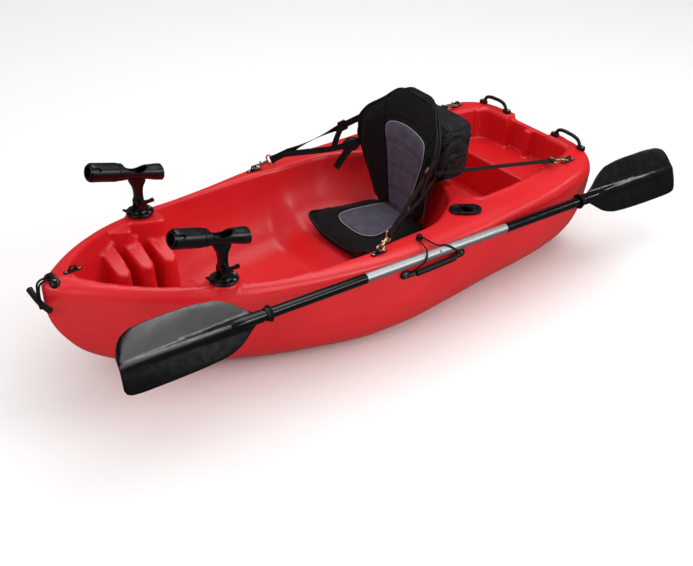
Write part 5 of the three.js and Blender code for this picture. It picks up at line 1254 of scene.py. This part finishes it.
def gap_to_line(points, line):
    """Distance of each 2-D point to a polyline, in the same unit."""
    best = np.full(len(points), 1e9)
    for a, b in zip(line, line[1:]):
        a, b = np.array(a, float), np.array(b, float)
        ab = b - a
        t = np.clip(((points - a) @ ab) / (ab @ ab), 0, 1)
        best = np.minimum(best, np.linalg.norm(points - a - t[:, None] * ab, axis=1))
    return best


def read_points(piece):
    flat = np.empty(len(piece.data.vertices) * 3)
    piece.data.vertices.foreach_get("co", flat)
    normals = np.empty(len(flat))
    piece.data.vertices.foreach_get("normal", normals)
    return flat.reshape(-1, 3) / mm, normals.reshape(-1, 3)


def write_points(piece, points):
    piece.data.vertices.foreach_set("co", (points * mm).ravel())
    piece.data.update()


def hugging(points, piece, lift):
    """The same points moved to just off the nearest surface of a pad."""
    tree = BVHTree.FromObject(piece, bpy.context.evaluated_depsgraph_get())
    row = []
    for p in points:
        hit, normal, _, _ = tree.find_nearest(Vector(p) * mm)
        row.append(hit / mm + normal * lift)
    return row


def inside(points, outline):
    """Which 2-D points lie in a closed outline."""
    found = np.zeros(len(points), bool)
    for (ax, ay), (bx, by) in zip(outline, outline[1:] + outline[:1]):
        if ay != by:
            found ^= ((ay > points[:, 1]) != (by > points[:, 1])) & (
                points[:, 0] < (bx - ax) * (points[:, 1] - ay) / (by - ay) + ax)
    return found


def surface_hit(tree, start, way):
    hit, normal, _, _ = tree.ray_cast(Vector(start) * mm, Vector(way))
    return (hit / mm, normal) if hit else (None, None)


def panel_on(name, piece, outline, view_axis, start, grooves, rise_mm, edge_mm):
    """A padded panel sewn on a cushion, in rings from its outline to its middle that lie on the cushion's surface."""
    tree = BVHTree.FromObject(piece, bpy.context.evaluated_depsgraph_get())
    ring = [np.array(p) for p in flat_curve(outline, 9, closed=True)]
    centre = np.mean(ring, axis=0)
    shares = [1, 1, 0.992, 0.98, 0.965, 0.945] + list(np.linspace(0.92, 0.02, 62))
    rings = []
    for level, share in enumerate(shares):
        spots = np.array([centre + (p - centre) * share for p in ring])
        depth = gap_to_line(spots, [tuple(p) for p in ring] + [tuple(ring[0])])
        height = rise_mm * (1 - np.exp(-depth / edge_mm)) + 0.6
        for groove, sink in grooves:
            height -= sink * np.exp(-(gap_to_line(spots, groove) / 2.6) ** 2)
        row = []
        for (u, v), h in zip(spots, height):
            source = start(u, v)
            hit, normal = surface_hit(tree, source, view_axis)
            if hit is None:
                hit, normal = Vector(source), -Vector(view_axis)
            row.append(hit + normal * (-1.5 if level == 0 else h))
        rings.append(row)
    made = loft(name, rings)
    made.data.shade_smooth()
    return made, [rings[1][i] for i in range(len(ring))]


def stitches(name, piece, lines, start, view_axis, pitch=5.0, length=3.4, thick=0.45, lift=0.35):
    """Separate stitches along lines on a surface."""
    tree = BVHTree.FromObject(piece, bpy.context.evaluated_depsgraph_get())
    one = rod("stitch", thick, length, count=8)
    places = []
    for line in lines:
        spots = [surface_hit(tree, start(u, v), view_axis) for u, v in line]
        row = [hit + normal * lift for hit, normal in spots if hit is not None]
        travelled, due = 0.0, pitch / 2
        for a, b in zip(row, row[1:]):
            span = (b - a).length
            while travelled + span > due:
                at = a.lerp(b, (due - travelled) / span)
                turn = (b - a).to_track_quat("Z", "Y").to_matrix().to_4x4()
                places.append(Matrix.Translation(at) @ turn)
                due += pitch
            travelled += span
    made = stamped(name, one, places)
    bpy.data.objects.remove(one)
    made.data.shade_smooth()
    return made


print("cushion tools ready")

# %% Seat back
back_length, back_half, back_thick, back_lean, back_foot = 416, 192, 44, 78, low_point("seat_back")
back_rows = [(0, 0.5, 0), (0.06, 0.58, 0), (0.2, 0.7, 0.02), (0.4, 0.87, 0.08), (0.58, 0.985, 0.17), (0.7, 1, 0.3),
             (0.79, 0.93, 0.47), (0.87, 0.74, 0.66), (0.95, 0.52, 0.88), (1, 0.28, 1)]


def fat(u):
    return math.sqrt(max(0.0, 1 - abs(u) ** 4))


def back_middle(y, t):
    """Mid-thickness of the seat back, which leans aft as it rises and has wings that come forward."""
    return -343 - read(back_rows, 2, t) * back_lean - back_thick / 2 + 50 * abs(y / back_half) ** 2.2


back_rings = []
for i in range(61):
    t = i / 60
    half = read(back_rows, 1, t) * back_half + 4
    end_fat = fat(2 * t - 1) ** 0.8
    front, behind = [], []
    for k in range(-20, 21):
        u = math.sin(math.pi * k / 40)
        thick = max(10.0, (back_thick / 2 - 3) * fat(u) ** 0.6 * end_fat ** 0.6)
        at, z = back_middle(u * half, t), back_foot + 2 + t * (back_length - 4)
        front.append((at + thick + 3 * (1 - u * u) * end_fat, u * half, z))
        behind.append((at - thick, u * half, z))
    back_rings.append(front + behind[::-1])
seat_back = inflated(loft("seat_back_cushion", back_rings), 5, 4.0, 7)

far_seam = [(-118, 590), (-112, 566), (-99, 548), (-88, 520), (-76, 480), (-63, 444), (-52, 390), (-43, 331),
            (-37, 270), (-34, 215)]
port_seam = [(150, 556), (155, 530), (150, 505), (148, 466), (134, 404), (112, 340), (98, 300), (86, 262), (62, 214)]
head_seam = [(-88, 520), (-60, 531), (-26, 537), (25, 540), (73, 535), (120, 528), (150, 512)]
points, normals = read_points(seat_back)
facing = np.clip((normals[:, 0] - 0.1) / 0.35, 0, 1)
flat_points = points[:, 1:3]
sink = 7.0 * np.exp(-(gap_to_line(flat_points, far_seam) / 4.6) ** 2)
sink = np.maximum(sink, 5.0 * np.exp(-(gap_to_line(flat_points, port_seam) / 4.2) ** 2))
sink = np.maximum(sink, 2.5 * np.exp(-(gap_to_line(flat_points, head_seam) / 4.0) ** 2))
write_points(seat_back, points - normals * (sink * facing)[:, None])

back_panel = [(-74, 500), (-64, 514), (-26, 523), (25, 524), (73, 520), (112, 515), (136, 503), (143, 466),
              (128, 404), (99, 327), (83, 270), (58, 226), (14, 221), (-29, 219), (-38, 292), (-46, 350), (-55, 407),
              (-67, 460)]


def before_back(y, z):
    return (-180, y, z)


stitch_rows = [[(-60, 448), (-20, 456), (20, 459), (65, 458), (105, 455), (138, 450)],
               [(-46, 370), (-20, 375), (28, 381), (75, 385), (120, 386)],
               [(-36, 293), (0, 298), (31, 301), (60, 301), (90, 298)]]
pairs = [[(y, z + lift) for y, z in flat_curve(row, 6)] for row in stitch_rows for lift in (0, 9)]
panel, rim_line = panel_on("seat_back_panel", seat_back, back_panel, (-1, 0, 0), before_back,
                           [(p, 2.4) for p in pairs], 4.0, 5.0)
seat_on(panel, "seat_back_body", panel_cloth)
edging("seat_back_piping", [p + Vector((1.2, 0, 0)) for p in rim_line[::3]], 1.5, "seat_back_body", piping,
       closed=True, steps=4, count=8)
seat_on(stitches("seat_back_stitches", panel, pairs, before_back, (-1, 0, 0)), "seat_back_body", thread)

seat_on(seat_back, "seat_back_body", mesh_cloth, "seat_back")
seat_back.data.materials.append(ribbed_cloth)
outer_line = [(-118, 700), (-118, 590)] + far_seam[1:] + [(62, 200)] + port_seam[::-1] + [(150, 700)]
centre_strip = inside(flat_points, outer_line)
for face in seat_back.data.polygons:
    if centre_strip[face.vertices[0]] and face.normal.x > 0.2:
        face.material_index = 1


def edge_row(depth_share):
    """Line round the rim of the seat back, at a share of its thickness from the middle."""
    left, right = [], []
    for i in range(2, 60):
        t = i / 61
        half = read(back_rows, 1, t) * back_half + 1.5
        z = back_foot + t * back_length
        x = back_middle(half, t) + depth_share * back_thick / 2 * fat(2 * t - 1) ** 0.8
        left.append((x, half, z))
        right.append((x, -half, z))
    return left + right[::-1]


for word, share in (("front", 0.5), ("rear", -0.5)):
    edging(f"seat_back_{word}_binding", hugging(edge_row(share)[::2], seat_back, 1.0), 3.6, "seat_back_body",
           binding)
print("seat back", len(seat_back.data.vertices), "points")

# %% Seat base
base_rear, base_front, base_half = 376, 86, 176
base_rows = [(0, 0.6), (0.05, 0.72), (0.16, 0.82), (0.4, 0.9), (0.7, 0.98), (0.86, 1), (0.95, 0.94), (1, 0.82)]


def pan_at(x, y):
    """Height of the tub's floor and walls under a point."""
    row = tub_ring((x + tub_rear) / (tub_rear + tub_front))[:22]
    return float(np.interp(abs(y), [p[1] for p in row], [p[2] for p in row]))


def base_section(t, u, slim):
    """(y, bottom, top) of the seat base at a share of its length and width."""
    x = -base_rear + t * (base_rear - base_front)
    y = u * (read(base_rows, 1, t) * base_half - slim)
    end_fat = fat(2 * t - 1) ** 0.8
    lift = 46 * (0.3 + 0.7 * t * t) * abs(u) ** 3
    support = max(pan_at(x, y), pan_height + lift) + 2.5 * abs(u)
    thick = mix(72, 46, t) - (support - pan_height) * 0.55
    bottom = support + 0.3 + 16 * (1 - fat(u) * end_fat)
    rise = max(18.0, (thick + 6 * (1 - u * u)) * fat(u) ** 0.6 * end_fat ** 0.5)
    return x, y, bottom, bottom + rise


base_rings = []
for i in range(49):
    under, over_row = [], []
    for k in range(-18, 19):
        x, y, low, high = base_section(i / 48, math.sin(math.pi * k / 36), -5)
        under.append((x, y, low + 2.5))
        over_row.append((x, y, max(low + 5.5, high - 3)))
    base_rings.append(under + over_row[::-1])
seat_base = inflated(loft("seat_base_cushion", base_rings), 5, 4.0, 6)

base_panel = [(-352, -44), (-320, -66), (-270, -84), (-215, -101), (-180, -99), (-163, -72), (-158, -30),
              (-157, 15), (-163, 58), (-182, 84), (-216, 88), (-270, 76), (-320, 60), (-352, 42)]
points, normals = read_points(seat_base)
facing = np.clip((normals[:, 2] - 0.2) / 0.35, 0, 1)
trench = flat_curve([(x - 6 * (x < -340) + 4 * (x > -190), y * 1.12) for x, y in base_panel], 5, closed=True)
sink = 5.5 * np.exp(-(gap_to_line(points[:, :2], trench + trench[:1]) / 4.5) ** 2)
write_points(seat_base, points - normals * (sink * facing)[:, None])


def over_base(x, y):
    return (x, y, 320)


base_lines = [flat_curve([(x, -86), (x + 7, -40), (x + 9, 0), (x + 7, 36), (x, 74)], 6)
              for x in (-292, -284, -226, -218)]
pad, rim_line = panel_on("seat_base_panel", seat_base, base_panel, (0, 0, -1), over_base,
                         [(p, 1.2) for p in base_lines], 4.5, 6.0)
seat_on(pad, "hull_body", panel_cloth)
edging("seat_base_piping", [p + Vector((0, 0, 1.2)) for p in rim_line[::3]], 1.5, "hull_body", piping,
       closed=True, steps=4, count=8)
seat_on(seat_base, "hull_body", mesh_cloth, "seat_base")

for word, share in (("upper", 0.8), ("lower", 0.16)):
    port = []
    for i in range(1, 48):
        x, y, low, high = base_section(i / 48, 0.975, 0)
        port.append((x, y + 3.4, mix(low, high, share)))
    ahead = []
    for k in range(19):
        x, y, low, high = base_section(0.992, 0.97 - 1.94 * k / 18, 0)
        ahead.append((x + 3.5, y, mix(low, high, share)))
    ring = port + ahead[1:-1] + [(x, -y, z) for x, y, z in reversed(port)]
    edging(f"seat_base_{word}_binding", hugging(ring[::2], seat_base, 0.8), 3.2, "hull_body", binding)
print("seat base", len(seat_base.data.vertices), "points")

# %% [markdown]
# ## Bag, webbing and snap hooks
# The bag hangs behind the seat back. Its cover is thin, so it creases, and the ends are drawn in by a cord,
# which gathers the cloth into small pleats. Webbing is stiff across its width and limp along it, so a strap is
# a flat band that only bends one way. Each strap goes round the eye of a brass bolt snap and comes back on
# itself. A front strap also has a ladder buckle and a loose tail that hangs at the seat back.

# %% Storage bag
bag_levels = [(0, 0.8), (0.05, 0.93), (0.15, 0.99), (0.6, 1), (0.84, 0.97), (0.95, 0.89), (1, 0.78)]
bag_depth, bag_height, bag_half, bag_foot, cad_length, cad_lean = 134, 190, 152, 148, 405, 66
bag_outline = rounded_outline(bag_depth, 2 * bag_half, 34, 10)
bag_path = smooth_path([(x, y, 0) for x, y in bag_outline[::2]], 4, closed=True)


def bag_ring(h, grow=0.0):
    """One level of the bag: pleated near its ends and creased everywhere."""
    scale = read(bag_levels, 1, h)
    z = back_foot + bag_foot + h * bag_height
    t = (z - back_foot) / cad_length
    x = -343 - read(back_rows, 2, t) * cad_lean - back_thick - bag_depth * scale / 2 - 0.3
    row = []
    for i, p in enumerate(bag_path):
        out = Vector((p.x / bag_depth, p.y / (2 * bag_half), 0)).normalized()
        near_end = math.exp(-(h / 0.16) ** 2) + math.exp(-((1 - h) / 0.14) ** 2)
        pleat = 2.6 * near_end * math.sin(i * 2 * math.pi * 26 / len(bag_path)
                                          + 3 * noise.noise((h * 4, i * 0.05, 0)))
        spot = Vector((p.x + 0.35 * z, p.y - 0.45 * z, 0.45 * z))
        fold = max(0.0, 0.25 - abs(noise.noise(spot * 0.024))) / 0.25
        crease = 10 * noise.noise(spot * 0.014) - 15 * fold * fold + 4
        sag = -3.5 * math.sin(math.pi * h) * (1 if out.x > 0 else 0)
        row.append(Vector((x + p.x * scale, p.y * scale, z)) + out * (pleat + crease + sag + grow))
    return row


bag = loft("storage_bag_cover", [bag_ring(i / 44) for i in range(45)])
fine = bag.modifiers.new("fine", "SUBSURF")
fine.levels = fine.render_levels = 1
freeze(bag)
bag.data.shade_smooth()
seat_on(bag, "seat_back_body", nylon, "storage_bag")
for word, h in (("top", 0.93), ("lid", 0.74), ("foot", 0.07)):
    edging(f"bag_{word}_binding", bag_ring(h, 1.0)[::3], 2.2, "seat_back_body", binding,
           closed=True, steps=2, count=8)
print("bag", len(bag.data.vertices), "points")

# %% Straps and hooks
band_side = [(-1, -0.5), (-0.97, -1), (-0.6, -0.9), (0, -0.9), (0.6, -0.9), (0.97, -1), (1, -0.5)]
band_section = band_side + [(u, -v) for u, v in reversed(band_side)]
far_strap_twist = 62


def flat_band(name, points, width_axis, matrix, width=24, thick=2.0, steps=8, twist=0):
    """Webbing along a path, with its width along one axis and a weave that follows its length."""
    path = smooth_path(points, steps)
    axis = Vector(width_axis)
    rings = []
    for i, at in enumerate(path):
        ahead = (path[min(i + 1, len(path) - 1)] - path[max(i - 1, 0)]).normalized()
        middle = min(max((at.x - 130) / (path[-1].x - 220), 0), 1) if twist else 0
        lean = Matrix.Rotation(math.radians(twist * math.sin(math.pi * middle) ** 0.7), 3, ahead) @ axis
        flat = lean.cross(ahead).normalized()
        across = ahead.cross(flat).normalized()
        rings.append([at + across * (u * width / 2) + flat * (v * thick / 2) for u, v in band_section])
    piece = loft(name, rings, matrix)
    world = np.array([tuple(matrix @ p) for p in path])
    reach = np.concatenate([[0], np.cumsum(np.linalg.norm(np.diff(world, axis=0), axis=1))])
    side_way = np.array((matrix.to_3x3() @ axis).normalized())
    spots, _ = read_points(piece)
    nearest = np.argmin(((spots[:, None] - world[None]) ** 2).sum(axis=2), axis=1)
    run = np.zeros((len(spots), 3))
    run[:, 0] = reach[nearest]
    run[:, 1] = ((spots - world[nearest]) * side_way).sum(axis=1)
    forward = np.gradient(world, axis=0)
    forward /= np.linalg.norm(forward, axis=1, keepdims=True)
    run[:, 0] += ((spots - world[nearest]) * forward[nearest]).sum(axis=1)
    data = piece.data.attributes.new("run", "FLOAT_VECTOR", "POINT")
    data.data.foreach_set("vector", (run * mm).ravel())
    piece.data.shade_smooth()
    piece.data.set_sharp_from_angle(angle=math.radians(50))
    return piece


def aimed(start, stop):
    """A place whose X axis points from one point to another, with Y level."""
    ahead = (Vector(stop) - Vector(start)).normalized()
    level = Vector((0, 0, 1)).cross(ahead).normalized()
    turn = Matrix((ahead, level, ahead.cross(level))).transposed().to_4x4()
    return Matrix.Translation(start) @ turn


def in_metres(place):
    return Matrix.Translation(place.translation * mm) @ place.to_3x3().to_4x4()


def snap_hook(name, place, roll):
    """A brass bolt snap: closed ring, barrel, thumb knob, swivel and webbing eye."""
    ring_path = [(11 - 11 * math.cos(a), 11 * math.sin(a), 0) for a in (2 * math.pi * i / 18 for i in range(18))]
    ring = tube("ring", ring_path, 3.0, closed=True, steps=3, count=16)
    barrel = revolve("barrel", [(0, 17.5), (3.4, 17.5), (4.6, 19.5), (6, 21), (6, 34), (5, 35.2), (5, 36.6), (6, 38),
                                (6, 46), (4.6, 47.4), (6.2, 48.6), (6.2, 51.6), (4.2, 53.2), (0, 53.2)], lying_x, 40)
    knob = rod("knob", 2.3, 9.5, pose(28.3, 0, 8.2), 20, 2.7)
    eye_path = [(52.6, 0, 0), (53.4, -15, 0), (57, -20, 0), (63.5, -20, 0), (68, -16, 0), (68, 0, 0), (68, 16, 0),
                (63.5, 20, 0), (57, 20, 0), (53.4, 15, 0)]
    eye = tube("eye", eye_path, 2.6, closed=True, steps=4, matrix=pose(turn_x=90 + roll))
    hook = rounded(join(barrel, ring, knob, eye), 0.5)
    hook.data.transform(in_metres(place))
    hook.name = name
    return hook


def buckle(name, place):
    """A ladder buckle: a curved frame with two bars that lock the webbing."""
    plate = stack("plate", rounded_outline(30, 36, 6, 8), [(-4.5, 0.94), (-2.5, 1), (2.5, 1), (4.5, 0.94)])
    slots = [stack("slot", rounded_outline(6.4, 26, 1.6, 4), [(-10, 1), (10, 1)], pose(x=x)) for x in (-7.6, 6.8)]
    cut(plate, *slots, box("under", 44, 25, 2.6))
    piece = rounded(plate, 0.9)
    piece.data.transform(in_metres(place) @ Matrix.Rotation(math.pi / 2, 4, "X"))
    piece.name = name
    return piece


def fold_path(length, far=68, bend=4.8, layer=1.3, fold=46):
    """A strap that comes back on itself round the hook's eye and then runs to its far end."""
    wrap = [(far + bend * math.cos(math.radians(a)), bend * math.sin(math.radians(a)), 0)
            for a in (260, 220, 180, 140, 100)]
    row = [(far + fold, -layer, 0), (far + 2.6 * bend, -layer - 0.3, 0), (far + 1.1 * bend, -0.8 * bend, 0)] + wrap
    return row + [(far + 1.1 * bend, 0.8 * bend, 0), (far + 2.6 * bend, layer + 0.3, 0), (length / 2, layer, 0),
                  (length, layer, 0)]


def webbing_on(name, points, width_axis, body, **shape):
    """A strap whose path is given in the boat's own place."""
    band = flat_band(name, [tuple(p) for p in points], width_axis, Matrix.Identity(4), **shape)
    return seat_on(band, body, webbing)


strap_rows = (("front", front_eye, (-352, 195, 490), 0), ("rear", rear_eye, (-340, 190.3, 430), 90))
for word, side in sides.items():
    for kind, eye, seat, roll in strap_rows:
        crossing = (eye[0], side * eye[1], low_point(f"{kind}_pad_eye_{word}") + 3.5 + 3.2 + 2.2)
        anchor = (seat[0], side * seat[1], seat[2])
        hook_place = aimed(crossing, anchor)
        turned = hook_place @ pose(turn_x=roll)
        length = (Vector(anchor) - Vector(crossing)).length
        hook = snap_hook(f"{kind}_bolt_snap_{word}", hook_place, roll)
        seat_on(hook, "hull_body", brass, f"{kind}_snap_hook_{word}")
        bends = ("hull_body", "seat_back_body", Vector(crossing) * mm, Vector(anchor) * mm)
        strap = flat_band(f"{kind}_strap_{word}_webbing", fold_path(length), (0, 0, 1), turned,
                          twist=far_strap_twist if (kind, word) == ("front", "right") else 0)
        seat_on(strap, bends, webbing, f"{kind}_strap_{word}")
        if kind == "front":
            at = turned @ pose(length - 78, 1.3, 0)
            seat_on(buckle(f"strap_buckle_{word}_moulding", at), "seat_back_body", plain_nylon,
                    f"strap_buckle_{word}")
            low_seat = Vector((-350, side * 184, 412))
            fold_end = turned @ Vector((112, -3.6, 0))
            middle = fold_end.lerp(low_seat, 0.62) - Vector((0, 0, 15))
            lower = [fold_end, fold_end.lerp(low_seat, 0.3) - Vector((0, 0, 8)), middle,
                     fold_end.lerp(low_seat, 0.85) - Vector((0, 0, 9)), low_seat]
            webbing_on(f"lower_strap_{word}", lower, (0, 0.25 * side, 1), bends, width=20)
            drop = turned @ Vector((length - 84, -3.4, 0))
            link = [drop, drop.lerp(middle, 0.5) + Vector((3, side * 2, 0)), middle + Vector((0, side * 2.5, 3))]
            webbing_on(f"link_strap_{word}", link, (1, 0.4 * side, 0.35), bends, width=20)
            top = low_seat + Vector((26, side * 4, -6))
            tail = [top + Vector(step) for step in ((0, 0, 0), (18, side * 12, -18), (40, side * 29, -56),
                                                    (61, side * 45, -100))]
            webbing_on(f"strap_tail_{word}", tail, (0.35, 0.66 * side, 0.5), "seat_back_body")
print("straps and hooks done")

# %% [markdown]
# ## Cords
# Two cords are free at least in part. The bow cord comes out of the saddle, goes over the bow, through both
# holes of the toggle and back, so the toggle hangs from it. The keeper cord is elastic: it goes from one handle
# mount over the shaft, round the knob and back over the shaft to the other mount.


toggle_x, toggle_z, hole_y = 930, 338, 7
toggle_line = [(0, 66 * u, 10 * u * u) for u in (-1, -0.8, -0.52, -0.2, 0.2, 0.52, 0.8, 1)]
toggle = tube("bow_toggle_grip", toggle_line, lambda t: 8.9 + 1.1 * abs(2 * t - 1) ** 3, count=32,
              matrix=pose(toggle_x, 0, toggle_z))
cut(toggle, *[rod("cord_hole", 4.1, 40, pose(toggle_x, side * hole_y, toggle_z), 24) for side in sides.values()])
seat_on(rounded(toggle, 1.6, 40), "bow_toggle_body", soft_rubber, "bow_toggle")

half_route = [(889.5, hole_y, 403.8), (905.6, hole_y, 404.1), (918.2, hole_y, 402.2), (927, hole_y, 394.2),
              (toggle_x, hole_y, 374.2), (toggle_x, hole_y, 348), (toggle_x, hole_y, 328), (toggle_x, 4.9, 321.6)]
route = half_route + [(toggle_x, 0, 318.4)] + [(x, -y, z) for x, y, z in reversed(half_route)]
bow_cord = tube("bow_cord", route, 3.2)
bow_cord.data.shade_smooth()
seat_on(bow_cord, "bow_toggle_body", cord_braid, "bow_toggle_cord")

lug_top, clear = 268.3, 18.5
knob_level = low_point("keeper_knob") + 3 + 2.5 + 0.6


def keeper_half(start_x, knob_side):
    """The elastic from one handle mount up and over the shaft."""
    row = [(start_x, 405.3, lug_top)]
    for i, turn in enumerate((-42, 0, 45, 90, 122)):
        x = mix(start_x, knob_x + knob_side * 9, (i + 1.4) / 6.6)
        away = x - paddle_x
        y = paddle_y + away * math.tan(math.radians(paddle_turn)) + clear * math.cos(math.radians(turn))
        z = paddle_z + away * math.tan(math.radians(paddle_rise)) + clear * math.sin(math.radians(turn))
        row.append((x, y, z))
    return row


round_knob = [(knob_x + 8.6 * u, knob_y + 8.6 * v, knob_level)
              for u, v in ((1, 0.5), (0.8, -0.6), (0, -1), (-0.8, -0.6), (-1, 0.5))]
route = keeper_half(-81.33, 1) + round_knob + keeper_half(-260.67, -1)[::-1]
keeper = tube("keeper_elastic", route, 2.5)
keeper.data.shade_smooth()
seat_on(keeper, "hull_body", cord_braid, "keeper_bungee")
